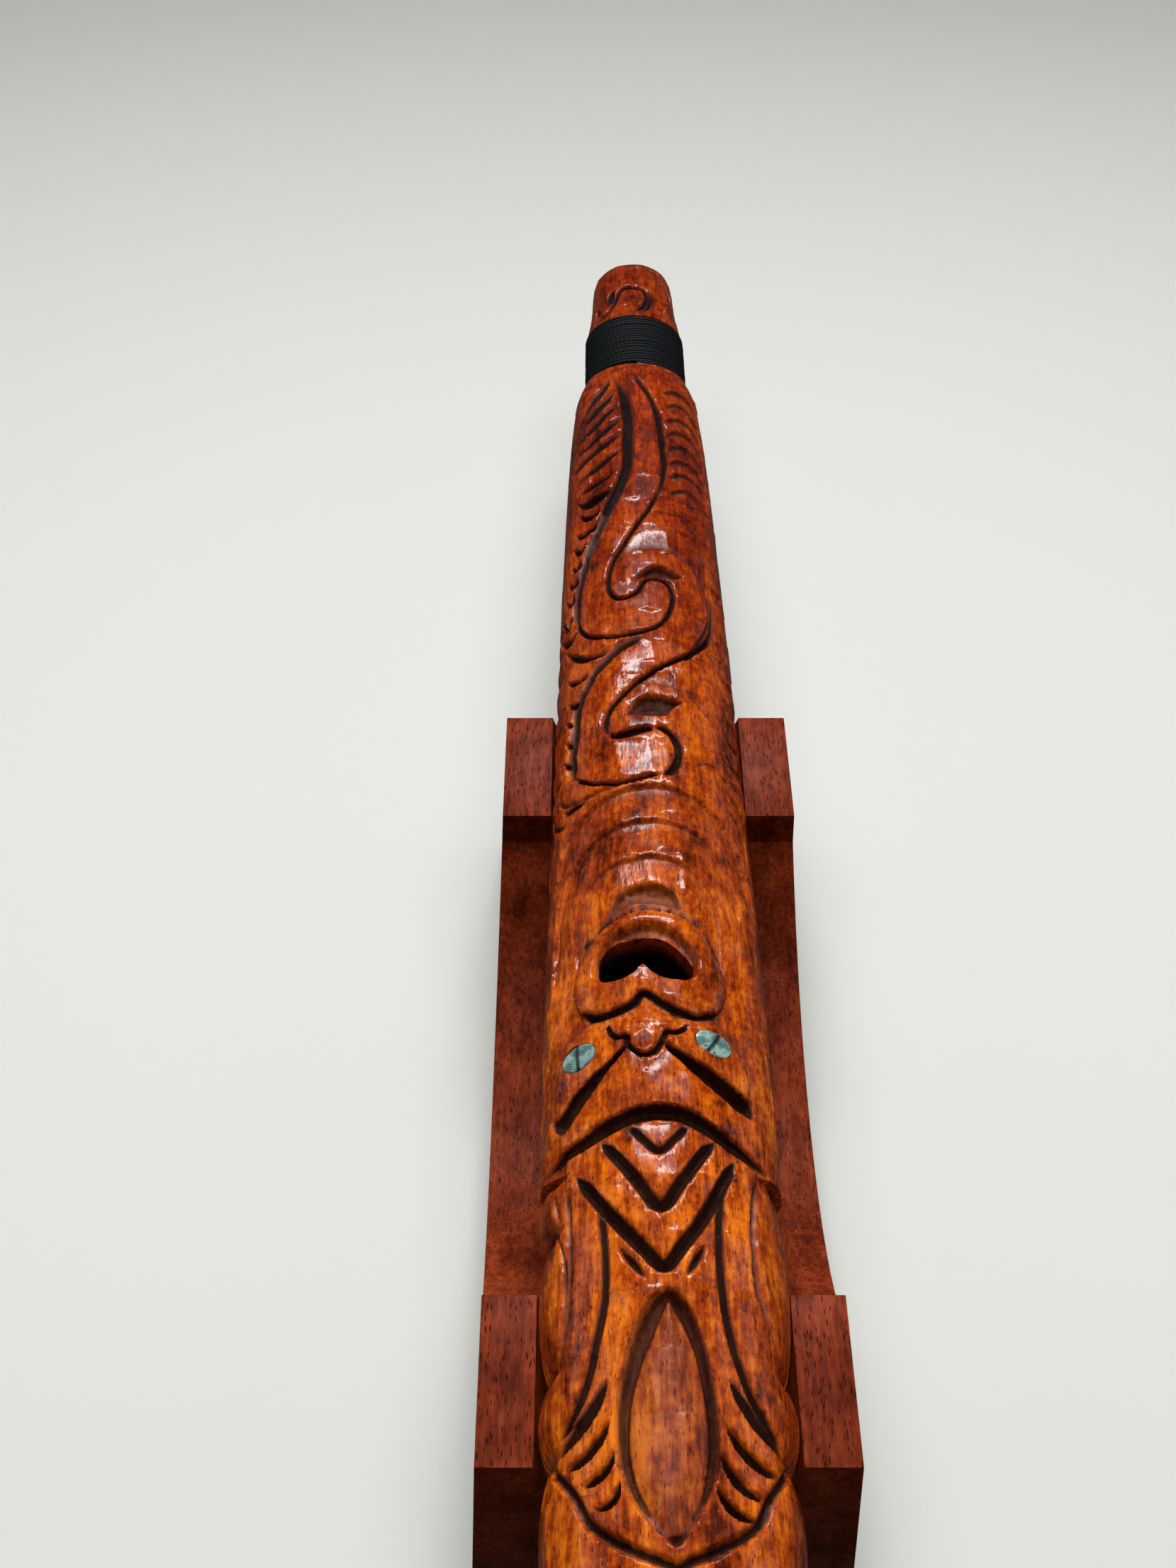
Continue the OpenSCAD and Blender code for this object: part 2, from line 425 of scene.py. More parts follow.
def chamfer(outline, deep, width):
    """Rounds the edge of a raised part down towards its outline, from the inside."""
    rows, within = inside(outline)
    edge = np.clip(1 - within / width, 0, 1) ** 2
    depth[rows] += deep * edge * (within > 0)


print("carving tools ready")

# %% [markdown]
# ## The face
# The middle of the flute carries a stylised mask: the sound hole is its open mouth, with a heart-shaped
# lip, and above the lip's point sit a small nose, two slanting wings with a shell eye in each, and a
# domed forehead with a deep arc at its edge. The eyes' sockets and the hole are cut where the CAD has them.

# %% Outlines of the mouth, nose and wings
MOUTH_RIM = [(-18, -1), (-17.8, 3), (-16, 8), (-14, 11), (-9, 14.8), (-2, 16.7), (5, 15.5), (10, 12),
             (13, 6), (14.3, 1), (14, -3), (12.5, -6.2), (9, -8), (6, -8.2), (3, -7), (0, -5), (-2.2, -3.3),
             (-3, -2.6), (-3.8, -3.3), (-5, -5.2), (-9, -7), (-13, -7.3), (-15.5, -6.3), (-17, -4.5)]
FUNNEL = [(-13.8, 3.5), (-13, 7.5), (-9.5, 11.5), (-5, 13.5), (-1, 14), (3, 12.7), (6.5, 10), (8.7, 6.5),
          (9, 3), (8, 0.5), (5.5, -0.8), (2, -0.3), (-0.5, 0.9), (-3, 3.0), (-5.5, 0.9), (-9, -0.4),
          (-11.5, -0.3), (-13.5, 1.5)]
HOLE = [(-11.5, 4), (-11, 7), (-8.5, 9.8), (-4, 10.8), (0, 10.8), (3.5, 9), (6.5, 5.5), (7.2, 3),
        (6.5, 0.6), (4, -0.8), (1, -0.4), (-1, 0.8), (-3, 3.0), (-4.5, 1.2), (-7, -0.2), (-9.5, -0.1),
        (-11.3, 1.5)]
NOSE = [(-3, -5), (-6, -7.5), (-10.3, -9.5), (-10.5, -11), (-9, -12.3), (-7, -12.7), (-6, -12.3),
        (-6.2, -14), (-5.5, -16), (-3.5, -17), (-1.5, -16.3), (0, -14.5), (0.5, -12.3), (2, -12.2),
        (4, -11.7), (5, -10), (4.5, -9), (1, -7.5)]
LEFT_WEDGE = [(-6.2, -15.1), (-10, -18), (-15, -21.3), (-20, -25.3), (-24, -28), (-23, -30.6), (-20, -32),
              (-17, -29.6), (-13.5, -25.2), (-10, -21), (-6.8, -17.2)]
RIGHT_WEDGE = [(0.7, -15.1), (5, -17.8), (10, -20.5), (15, -23.5), (19, -26), (18.6, -29.6), (15, -28.6),
               (11, -26), (7, -22.8), (4, -19.8), (1.2, -17)]
print("outline of the sound hole:", len(HOLE), "points")

# %% Lines of the wings and of the forehead
LEFT_BROW = [(-6.5, -15), (-10, -18.5), (-15, -21.8), (-20, -25.8), (-23.3, -28)]
RIGHT_BROW = [(1, -15), (5, -18.3), (10, -21), (15, -24), (18.3, -26.2)]
LEFT_WING = [(-23.6, -28), (-23.6, -21), (-21.8, -15.5), (-19.2, -11.6), (-15.5, -8.9), (-12, -8.4)]
RIGHT_WING = [(18.9, -26), (19, -22), (17.9, -18.4), (15.6, -14), (12.5, -10), (10, -8.6), (6.2, -9)]
FOREHEAD_EDGE = [(-26.5, -39.5), (-20, -36.6), (-15, -35), (-10, -33), (-5, -31.3), (-1, -30.9), (3, -31.2),
                 (7, -32.9), (11, -35.2), (15, -37.2), (20, -39.6), (22.5, -40.5)]
print("forehead edge from", FOREHEAD_EDGE[0], "to", FOREHEAD_EDGE[-1])

# %% [markdown]
# The cuts come in the order a carver would make them: first the ground is lowered round the lip, then its
# edge is rounded, and then the deep grooves are cut. After a curve come a cut's width and depth in mm.

# %% Cut the face
sink_outside(MOUTH_RIM, 1.4, 0.6, 7)
chamfer(MOUTH_RIM, 0.45, 1.8)
hollow(FUNNEL, 2.5, 1.3, 0.5)
groove([(-17, -5.2), (-13, -8), (-9, -7.7), (-5, -5.9), (-3, -3.8), (0, -5.8), (3, -7.7), (6, -8.9),
        (9, -8.7), (13, -6.7)], 1.9, 2.2, 0.3)
groove([(-16.5, 9.5), (-14.5, 12.2), (-9, 15.9), (-2, 17.8), (5, 16.5), (10.5, 12.6), (13.8, 6.5),
        (14.8, 1)], 1.3, 1.2, dark=0.9)
chamfer(NOSE, 0.5, 1.3)
groove([(-10.6, -9.3), (-10, -12), (-8.5, -13.6), (-6.5, -13.8), (-6.4, -15.5), (-5, -17.3), (-3.2, -18.4),
        (-1, -17.4), (0.6, -14.8), (1.2, -13.3), (3, -13.2), (5, -12), (5.6, -10)], 1.5, 1.9)
hollow(LEFT_WEDGE, 2.8, 0.6, 1.0)
hollow(RIGHT_WEDGE, 2.8, 0.6, 1.0)
step(LEFT_BROW, 0.7, 9, -1, 0.3)
step(RIGHT_BROW, 0.7, 9, -1, 0.3)
for wing, side in ((LEFT_WING, 1), (RIGHT_WING, -1)):
    groove(wing, 1.5, 0.9, dark=0.8)
    step(wing, 0.8, 8, side, 0.5)
groove(FOREHEAD_EDGE, 3.3, 2.5, 0.5, "both", 1.0)
step(FOREHEAD_EDGE, 1.0, 16, -1, 0.2)
groove([(13.5, 1), (15.5, 0), (20, -3.5), (23, -8), (25.5, -13), (26.5, -20), (26, -28)], 1.2, 0.6, 0.2,
       "tips", 0.6)
groove([(-18.6, -2.5), (-20, -3.5), (-24, -8), (-27, -14), (-28, -20), (-27.5, -28)], 1.2, 0.6, -0.2,
       "tips", 0.6)
print("face carved, deepest cut", round(float(depth.max()), 2), "mm")

# %% [markdown]
# ## Chevrons, limbs and the leaf shape
# Below the forehead come three nested chevrons and two long limbs that frame a pointed leaf, with small
# notches that fan out beside it. Each is a groove or a step along a few points.

# %% Chevrons and limbs
groove([(-6.3, -33.6), (-3.5, -36.8), (-0.8, -39), (2, -36.6), (4.8, -33.6)], 2.2, 1.7, -0.4)
groove([(-12.3, -35.6), (-9, -39.6), (-5, -45), (-0.9, -50.6), (3, -45.6), (7, -39.8), (10.2, -36)], 2.8,
       2.1, -0.4)
groove([(-17.8, -41.2), (-12, -49), (-8, -54), (-4, -58.6), (-0.5, -62), (3, -57.8), (6.5, -53), (9.5, -48),
        (14.2, -38.8)], 2.9, 2.2, -0.4)
for points in ([(-8.8, -57.8), (-3.6, -64.5)], [(7.3, -57.3), (3.1, -64.2)]):
    groove(points, 1.8, 1.4, taper="both")
LEFT_LIMB = [(-12.5, -49), (-11.5, -57), (-11.5, -66), (-13, -74), (-15, -81), (-18, -87), (-22, -90.5)]
RIGHT_LIMB = [(11, -44), (10.2, -52), (9.8, -60), (10.2, -68), (11.5, -76), (14, -83), (18, -89), (22, -93)]
for limb, side in ((LEFT_LIMB, 1), (RIGHT_LIMB, -1)):
    groove(limb, 1.9, 1.5, dark=0.9)
    step(limb[:-1], 0.7, 6, side, 0.3, 0.8)
groove([(-20, -43), (-19, -50), (-18.5, -58), (-18.7, -64), (-20, -72), (-23, -78)], 1.8, 1.1, 0.3, "tips",
       0.8)
groove([(20, -41), (18, -46), (17, -52), (16.8, -58), (17.5, -65), (20, -71), (23, -76), (26, -80)], 1.8,
       1.1, -0.3, "tips", 0.8)
groove([(-25, -50), (-22, -53), (-20, -58), (-19.8, -64), (-20.5, -72)], 1.2, 1.0, taper="both", dark=0.9)
groove([(-23, -43), (-21.5, -50)], 1.2, 0.9, taper="both")
print("chevrons and limbs carved")

# %% [markdown]
# Seen from above, the outline swells and pinches beside the limbs. Those lobes reach the joint face, so
# they are kept apart from the other cuts, and the lower half takes them up too.

# %% Side lobes
SIDE_START = 18
SIDE_RAMP = 7
sides = np.zeros_like(depth)


def lobes(side, places, deep):
    """Rounds one side of the flute into lobes that meet at pinched places."""
    for low, high in zip(places, places[1:]):
        part = rows_near(low, high)
        swell = np.sin(np.pi * (Y[part] - low) / (high - low)) ** 0.4
        reach = np.clip((side * U[part] - SIDE_START) / SIDE_RAMP, 0, 1) ** 1.3
        relief = deep * (1 - swell) * reach
        sides[part] += relief
        # The pinches are painted darker, partly as stain and partly as painted shade.
        shade[part] = np.maximum(shade[part], 0.8 * np.clip(relief / 3, 0, 1) ** 2)


lobes(-1, (-117, -92, -77, -51, -40), 3.2)
lobes(1, (-117, -92.5, -78, -41), 3.2)
for place in range(7):
    lobes(-1, (52 + 9 * place, 61 + 9 * place), 0.9)
    lobes(1, (44 + 7 * place, 51 + 7 * place), 0.8)
print("deepest pinch", round(float(sides.max()), 2), "mm")

# %% [markdown]
# The leaf shape is a pointed oval in a sunk moat. The oval is domed, coloured a little darker than the
# ground round it, and has a fine midrib.

# %% Leaf shape and notches
LEAF_DARKENING = 0.4
LEAF_OUTER = [(0, -65.8), (3, -68), (5.5, -73), (7, -79), (8, -85), (8.2, -91), (7.5, -97), (5.5, -102),
              (3, -106), (0, -109.5), (-3.5, -106), (-6.5, -102.5), (-8.8, -97), (-9.5, -91), (-9.3, -85),
              (-8, -79), (-6, -73), (-3, -68)]
LEAF_INNER = [(0, -68.5), (2.5, -73), (4.5, -79), (5.5, -85), (6, -90), (5.8, -95), (4.5, -101),
              (1.5, -106.5), (-0.3, -107.5), (-2.2, -106.5), (-5.5, -101), (-7, -96), (-7.2, -91),
              (-6.8, -86), (-5, -80), (-2.5, -74)]
rows, outer = inside(LEAF_OUTER)
inner_rows, inner = inside(LEAF_INNER)
leaf_in = np.full_like(depth, -HALF_LENGTH)
leaf_in[inner_rows] = inner
past_oval = -leaf_in[rows]
moat = np.clip(outer / 1.3, 0, 1) ** 0.7 * (0.9 + 1.3 * np.clip(past_oval / 0.7, 0, 1))
cut(rows, np.where(past_oval > 0, moat, 0), 0.75)
groove(LEAF_OUTER[9:] + LEAF_OUTER[:1], 0.8, 0.7, dark=0.9)
dome = np.clip(leaf_in / 6, 0, 1)
depth += np.where(leaf_in > 0, 0.9 * (1 - dome) ** 2, 0)
# The oval's colour is made darker through the same shade attribute.
shade = np.maximum(shade, np.where(leaf_in > 0, LEAF_DARKENING, 0))
groove([(-0.3, -72), (-0.6, -84), (-0.5, -96), (-0.3, -104)], 1.0, 0.14, taper="both", dark=0.2)

for tip, end, width in (((-11, -81), (-22.5, -92.6), 2.9), ((-10.7, -88.5), (-19.5, -95.4), 1.9),
                        ((-10, -93.5), (-16, -98.6), 1.5), ((-9, -98.5), (-13.5, -102.5), 1.3)):
    leaf(tip, end, 1.2 * width, 2.0, 1.6)
for tip, end, width in (((10, -81), (22.5, -93.6), 2.5), ((9, -89.5), (19, -96.6), 2.0),
                        ((8, -94), (15.5, -101), 1.8), ((7, -99.5), (14, -104.3), 1.6)):
    leaf(tip, end, 1.2 * width, 2.0, -1.6)
for side in (-1, 1):
    groove([(side * 26, -93), (side * 21, -96), (side * 17, -100.2), (side * 14, -105), (side * 8, -109),
            (0, -112.5), (-side * 6, -116)], 2.2, 1.3, dark=0.9)
print("leaf shape and notches carved")

# %% [markdown]
# ## The foot end
# Past the leaf shape the pattern repeats, smaller, as it does on such flutes: crossed bands, a second leaf
# between two limbs, and rows of notches that end at the thread binding.

# %% Towards the foot
for side in (-1, 1):
    groove([(side * 3, -118), (side * 9, -124), (side * 12, -133), (side * 12.5, -144), (side * 10.5, -155),
            (side * 6, -164), (0, -170)], 1.8, 1.2, dark=0.9)
    groove([(side * 16, -112), (side * 18.5, -122), (side * 19, -134), (side * 18, -146),
            (side * 15.5, -158), (side * 12, -168)], 1.6, 1.0, dark=0.8)
    for index in range(6):
        place = -118 - 8 * index
        leaf((side * (19.8 - 0.3 * index), place), (side * (27 - index), place - 6), 2.2, 1.3, -side * 1.2)
    for index in range(5):
        place = -174 - 7.5 * index
        step([(side * 1.5, place - 3), (side * 7, place), (side * 14, place - 1.5), (side * 20, place - 5)],
             0.6, 6, -side, 0.6)
groove([(0, -172), (0.4, -184), (-0.4, -198), (0, -211)], 1.6, 1.1, taper="both")
SMALL_LEAF = [(0, -121), (4.5, -128), (6.6, -136), (7, -144), (5.4, -153), (2.5, -160), (0, -164),
              (-2.5, -160), (-5.4, -153), (-7, -144), (-6.6, -136), (-4.5, -128)]
rows, within = inside(SMALL_LEAF)
RIM_IN, RIM_HALF, RIM_DEEP = 0.8, 0.9, 1.3
cut(rows, RIM_DEEP * np.clip(1 - np.abs(within - RIM_IN) / RIM_HALF, 0, 1))
print("foot end carved")

# %% [markdown]
# ## Arcs and hooks above the mouth
# Three round terraces rise like hair behind the mouth. Beyond them two hooks lock into each other, each
# with a hollow inside its curl, and a stem runs from the second one to the blowing end.

# %% Terraces
OUTER_ARC = [(-25.5, 28), (-24, 35), (-22, 40.5), (-18, 45), (-13, 48.5), (-7, 51.2), (-1, 52.3), (3, 52),
             (8, 50.5), (12, 48.5), (16, 45), (19, 41), (22, 36), (25, 30), (26, 25)]
MIDDLE_ARC = [(-24.5, 0), (-24.8, 8), (-24.5, 15), (-23.5, 22), (-21.5, 28), (-19, 33), (-15, 37),
              (-10, 39.8), (-5, 41.5), (-1, 42), (4, 41.5), (9, 39.5), (13, 36), (16, 31.5), (18.5, 26.5),
              (20, 21), (20.5, 15)]
INNER_ARC = [(-18.8, 5), (-19, 12), (-18.5, 17), (-17, 21.5), (-14, 26), (-10, 29.5), (-5, 31),
             (-0.5, 31.6), (4, 31), (8, 28.5), (11, 25.5), (13.5, 21), (15, 16), (15, 8), (15, 0)]
for arc, deep, run in ((OUTER_ARC, 1.15, 9.5), (MIDDLE_ARC, 1.0, 9.5), (INNER_ARC, 0.9, 12)):
    step(arc, deep, run, -1, 0.35)
hollow([(-10.3, 15.5), (-10.3, 18), (-9, 21.5), (-6, 23.8), (-2, 24.8), (2, 24), (5, 22), (6.2, 19.5),
        (6.2, 16.5), (3, 17.6), (-1, 18.3), (-6, 18)], 2.4, 1.5, 0.62)
print("terraces carved")

# %% [markdown]
# The first hook is a broad ribbon between two long grooves, with a deep pocket inside its curl. Small
# nicks run down its left edge and fine hatching down its right one.

# %% First hook
groove([(17.5, 108), (16.5, 104), (14, 100.5), (10.5, 96), (7, 93), (3, 90), (0, 87.5), (-2.5, 85),
        (-4.5, 82.5), (-7, 79.5), (-9, 76.5), (-10, 73.5), (-10, 70.5), (-9, 68.4)], 1.8, 1.7, 0.2)
hollow([(-9.5, 70), (-8, 69.3), (-5, 69.8), (-2, 70.5), (0.5, 70.5), (1, 68.8), (-1, 68), (-3, 67),
        (-6, 66.5), (-9, 67.5)], 1.9, 0.7, 1.0)
groove([(1, 69.8), (3, 69.5), (5.5, 67), (6.5, 64), (6.5, 61), (5.5, 58), (4, 55.8), (2.5, 55)], 2.3, 1.8)
groove([(0, 101.5), (-4, 99), (-8, 96), (-11, 93), (-14, 89.5), (-16.5, 85), (-18, 80), (-18.5, 75),
        (-19, 70), (-19.5, 65), (-19, 60), (-17.5, 58)], 3.6, 1.7, 0.5, "tips", 0.8)
groove([(-18, 58.5), (-15, 56), (-12, 54.3), (-8, 53.3), (-4, 53.7), (0, 54.8), (2.5, 55.3)], 1.3, 1.5)
hollow([(-6, 73.8), (-4.5, 77), (-2, 79.8), (1, 80.7), (4, 80.3), (8.5, 78.7), (6.5, 77), (5, 75),
        (4.5, 73.5), (-1, 73.6)], 2.0, 1.0, 0.75)
step([(-4, 83), (-1, 84), (3, 84), (7, 82.5), (11, 79.5), (14, 76), (16.5, 72), (17.5, 69), (20, 65),
      (21, 60)], 0.8, 7, 1, 0.7)
groove([(-22.5, 104), (-19, 99.5), (-15, 96.5), (-11, 96.5), (-8.5, 98.8)], 2.4, 1.5, taper="both")
for points in ([(-21.5, 92.5), (-18, 90.2), (-14.5, 91.5)], [(-21, 84.5), (-19, 83), (-17.5, 84.5)],
               [(-21.5, 78.5), (-19.5, 76.5)], [(-21.5, 72), (-19.5, 70)], [(-22, 66), (-20, 63.5)]):
    groove(points, 1.9, 1.7, taper="both")
hollow([(-22, 51), (-18.5, 51.6), (-15, 50.6), (-17, 49), (-21, 49)], 1.6, 0.6, 1.0)
groove([(-22, 63), (-24, 57), (-22, 53), (-17, 51.3), (-11, 52), (-5, 53.5)], 1.3, 0.9, dark=0.8)
groove([(-27, 53), (-25, 48), (-21, 46)], 1.6, 1.2, taper="both")
RIDGES = ([(7.5, 95.5), (11, 96), (15, 95.7), (19, 92.5), (22, 88), (24, 84)],
          [(13.5, 89), (17, 86), (20, 83)],
          [(10, 60), (14, 61.5), (17, 60), (20, 57), (21, 52)])
for points in RIDGES:
    step(points, 0.55, 5, -1, 0.6)
for index in range(5):
    place = 65 + 1.8 * index
    groove([(17.2, place), (21.3, place - 1.4)], 1.0, 0.8, taper="both", dark=0.8)

for index in range(7):
    place = 46 + 6.5 * index
    leaf((18.5 + 0.3 * index, place + 3.5), (27, place - 2.5), 2.0, 1.3, -0.8)
print("first hook carved")

# %% [markdown]
# The second hook is cut in the same way. One long groove draws its whole outline, from the stem round the
# curl and back, as a carver would pull it in one go.

# %% Second hook
groove([(5, 162), (4.5, 158), (3, 153), (1.5, 149), (-1, 144), (-3.5, 139), (-6, 133.5), (-8, 128.5),
        (-9, 123.5), (-9, 119.5), (-8.3, 117), (-7, 115.3), (-5.5, 115), (-3, 115.8), (-1.3, 117.5),
        (-0.5, 119.5), (0.5, 121), (3, 121.5), (5.5, 120.5), (6.8, 117.5), (7, 114.5), (6.3, 111),
        (4.8, 107), (2.5, 104), (0, 102.5), (-3, 101.7), (-7, 101.5), (-11, 102.3), (-14.5, 104.5),
        (-17, 108), (-18, 112), (-18, 116), (-17.5, 121)], 1.6, 1.5)
groove([(-5.2, 162), (-6.4, 158), (-8.6, 152), (-11, 146), (-13.3, 140), (-15.3, 134), (-17.2, 127),
        (-18.3, 121), (-18.6, 115), (-18.2, 110)], 3.4, 1.7, 0.55, "tips", 0.8)
step([(-6.5, 130), (-3, 132), (1, 133.3), (5, 133.3), (9, 131.5), (12, 129), (14, 126), (15.5, 122),
      (16.3, 117), (16.3, 112), (15, 107), (13, 102.5), (10.5, 98)], 0.9, 7, 1, 0.7)
groove([(16, 125), (18.5, 121), (18.7, 116), (18, 110), (17, 105), (14.5, 100.5), (11, 96.5)], 2.0, 1.1,
       taper="both", dark=0.9)
hollow([(-2.5, 122.5), (-0.5, 125), (2, 127), (5, 127), (8.5, 125.3), (10, 124), (8, 122.4), (4, 122),
        (0, 122.1), (-2, 121.5)], 2.0, 1.0, 0.75)
print("second hook carved")

# %% [markdown]
# To the left of the second hook small crescents follow its edge, and to its right the ground rises in
# broad scales.

# %% Crescents and scales
LEFT_CRESCENTS = ([(-18.5, 159.5), (-15, 155.8), (-10.5, 156.5), (-8, 160)],
                  [(-18, 154), (-15, 150.8), (-12.5, 151), (-11, 153.5)],
                  [(-19, 146.5), (-16.5, 144.3), (-13.5, 145.5), (-12, 148)],
                  [(-20, 141.5), (-17.5, 138.5), (-15.3, 141)],
                  [(-20.5, 134.5), (-19, 132.8), (-17, 135)],
                  [(-22, 129), (-20, 127), (-18, 129.5)],
                  [(-23, 123), (-21, 120.8), (-19.5, 124.5)],
                  [(-24.5, 116), (-22, 112), (-20.5, 117)],
                  [(-25, 109.5), (-21, 106.5), (-17.5, 108.5)])
for points in LEFT_CRESCENTS:
    groove(points, 2.3, 1.9, taper="both")
RIGHT_SCALES = ([(4, 155.5), (8, 155.8), (14, 155), (19, 152.5)],
                [(2, 148.5), (6, 149), (13, 148.8), (17, 146.5), (21, 143)],
                [(7, 142.3), (12, 142), (16, 140), (20, 137), (24, 135)],
                [(17, 126.5), (24, 126)],
                [(18.5, 106), (22, 105.5), (25, 103)],
                [(17, 100), (20, 99), (24, 95)])
for points in RIGHT_SCALES:
    step(points, 0.6, 5.5, -1, 0.6)
print("carved", len(LEFT_CRESCENTS), "crescents and", len(RIGHT_SCALES), "scales")

# %% [markdown]
# ## The blowing end
# A stem runs up between two grooves. To its left is a fan of deep leaf notches, and to its right rows of
# shallow scales. The cap past the thread has one small curl and a groove round its rim.

# %% Stem, notches, scales and cap
groove([(-8, 216), (-7, 213), (-5, 207), (-3.8, 201), (-3, 195), (-2.7, 188), (-3, 181), (-3, 174),
        (-3.5, 168), (-5, 162), (-7, 156), (-9, 151)], 3.7, 1.9, -0.6, "start", 0.9)
groove([(-3, 217), (-1.5, 213), (1, 207), (3, 202), (4.5, 196), (5.5, 190), (6, 183), (6.3, 176),
        (6.5, 170), (6, 164), (5, 159), (4, 155), (2.5, 151)], 2.2, 1.6, 0.3, "both")
FAN = (((-8, 212), (-20, 198), 3.0), ((-6.8, 205), (-20.5, 192.5), 3.3),
       ((-6, 198.5), (-21, 186.5), 3.0), ((-4.8, 191.5), (-21.5, 180.5), 3.0),
       ((-4.8, 184.5), (-22, 175), 3.0), ((-5, 176.5), (-20, 168.5), 2.6),
       ((-6.8, 167), (-18.5, 163.5), 2.3), ((-8, 160), (-18.5, 158.5), 2.0))
for tip, end, width in FAN:
    leaf(tip, end, 1.3 * width, 2.2, 1.5)
for crest in (208.5, 201.5, 194.3, 188, 181, 174.5, 168.5, 161.5):
    step([(7, crest - 4), (10, crest - 1.2), (13, crest), (17, crest - 1.2), (22, crest - 5)], 0.9, 5.5, -1,
         0.8)
groove([(-14, 246.5), (-11, 249), (-8, 251), (-5.8, 256), (-5, 260), (-3, 263), (0, 263), (3, 261.5),
        (4, 258), (3.5, 254), (2, 250.5), (-0.5, 247.5)], 1.9, 1.5)
hollow([(-8.5, 255), (-6.4, 256), (-5.8, 260), (-6.2, 263.5), (-8, 262), (-9, 258)], 1.7, 0.8, 1.0)
groove([(-13, 250), (-12, 253), (-12.6, 256.5)], 2.2, 1.6, taper="both")
groove([(4.9, 263), (5.3, 257), (4, 251), (1.2, 247)], 1.7, 1.4, taper="both")
groove([(9.5, 255), (9, 250), (7, 247)], 1.0, 0.7, taper="both")
groove([(0, 275.5), (5, 274), (9, 271), (11.5, 267.5), (14, 262), (15.5, 255)], 2.0, 1.3, taper="both")
for place in (-252, -262, -272):
    groove([(-13, place - 2), (-6, place), (0, place + 1.5), (6, place), (13, place - 2)], 1.4, 0.8,
           taper="both")
print("blowing end carved")

# %% [markdown]
# ## Tool marks
# A hand-carved surface is never quite smooth: each pass of a flat gouge leaves a facet a few millimetres
# wide. Facets catch the light as crisp-edged glints, so they are part of the shape. Their places come from
# fixed random numbers, so that every run gives the same flute.

# %% Tool marks on the sheet
MARK_WIDTH = 7.5
MARK_LENGTH = 11.0
MARK_DEPTH = 0.15
MARK_FLATNESS = 1.25
FINE_MARKS = (3.4, 6, 0.035)
DEEPEST = 4.2
END_FADE = 3
NECK_END = 247
NECK_FADE = 0.4
JOINT_FADE = 0.07
SEAM_DEPTH, SEAM_WIDTH = 0.35, 0.5
THREAD_MARGIN = 0.3


def dishes(u, y, width, length, deep, seed, flatness=0.35):
    """Shallow dishes in staggered rows: the distance inwards from the sheet, in mm. A flatness of about 1.3
    takes off the skin's own roundness, which leaves a flat facet."""
    random = np.random.default_rng(seed)
    shifts = random.random((64, 128, 3))
    row = np.floor(y / length).astype(int)
    stagger = (row % 2) * 0.5
    column = np.floor(u / width + stagger).astype(int)
    jitter = shifts[column % 64, row % 128]
    across = (u / width + stagger - column - 0.5) * 2 + (jitter[..., 0] - 0.5) * 0.5
    along = (y / length - row - 0.5) * 2 + (jitter[..., 1] - 0.5) * 0.5
    tilt = (jitter[..., 2] - 0.5) * 2.2
    pitch = (jitter[..., 0] + jitter[..., 2] - 1) * 1.6
    return deep * (1.5 - flatness * across ** 2 - 0.15 * along ** 2 + tilt * across + pitch * along)


marks = dishes(U + 0.06 * Y, Y, MARK_WIDTH, MARK_LENGTH, MARK_DEPTH, 11, MARK_FLATNESS)
marks += dishes(U - 0.1 * Y + 2.3, Y + 4, *FINE_MARKS, 12)
depth = depth + np.clip(marks, 0, 1)
print("tool marks up to", round(float(np.clip(marks, 0, 1).max()), 2), "mm deep")

# %% [markdown]
# No cut runs under the thread, over the sharp rim of an end or across the joint face, so the depth fades
# out there. A fine line along the joint shows where the two halves meet.

# %% Fade the cuts and mark the joint
bound = (np.abs(Y) > BIND_START - THREAD_MARGIN) & (np.abs(Y) < BIND_END + THREAD_MARGIN)
neck_fade = np.clip((radius[:, None] - CORE_RADIUS) / NECK_FADE, 0, 1)
depth = depth * np.where(np.abs(Y) < NECK_END, neck_fade, 1)
depth = np.where(bound, 0, depth) * np.clip((HALF_LENGTH - np.abs(Y)) / END_FADE, 0, 1)
from_joint = math.pi / 2 - np.abs(angle)
seam = SEAM_DEPTH * np.clip(1 - from_joint * MID_RADIUS * FLATNESS / SEAM_WIDTH, 0, 1)
depth = np.clip(depth, 0, DEEPEST) * np.clip(from_joint / JOINT_FADE, 0, 1) + seam + sides
print("mean depth of the carving", round(float(depth.mean()), 2), "mm")

# %% [markdown]
# ## From sheet to solid
# The sheet becomes the outer wall of a hollowed half: every point moves inwards by its depth, a plain
# inner wall follows the bore, and strips close the joint face and both ends. The Decimate modifier then
# takes away triangles where the surface is nearly flat and leaves them in the cuts.
#
# Known fault: the faces of both halves are wound the wrong way round, so their normals point into the
# wood. Renders show both sides of a face and don't change, but an STL file of a half is inside out.

# %% Build a hollowed half
BORE_COLUMNS = 20


def outer_skin(inward, up, columns):
    """The outer wall's points: the smooth oval moved inwards, square to its surface."""
    around = angle[columns]
    lean = np.stack([np.sin(around), np.cos(around) / FLATNESS], 1)
    lean /= np.linalg.norm(lean, axis=1)[:, None]
    x = radius[:, None] * np.sin(around) - inward * lean[:, 0]
    z = radius[:, None] * FLATNESS * np.cos(around) - inward * lean[:, 1]
    return np.stack([x, np.repeat(row_y[:, None], len(columns), 1), AXIS_Z + up * z], -1)


def bore_wall(up):
    """The inner wall's points, along the bore."""
    around = np.linspace(-math.pi / 2, math.pi / 2, BORE_COLUMNS)
    wide, high = bore_size(row_y)
    return np.stack([wide[:, None] * np.sin(around), np.repeat(row_y[:, None], BORE_COLUMNS, 1),
                     AXIS_Z + up * high[:, None] * np.cos(around)], -1)


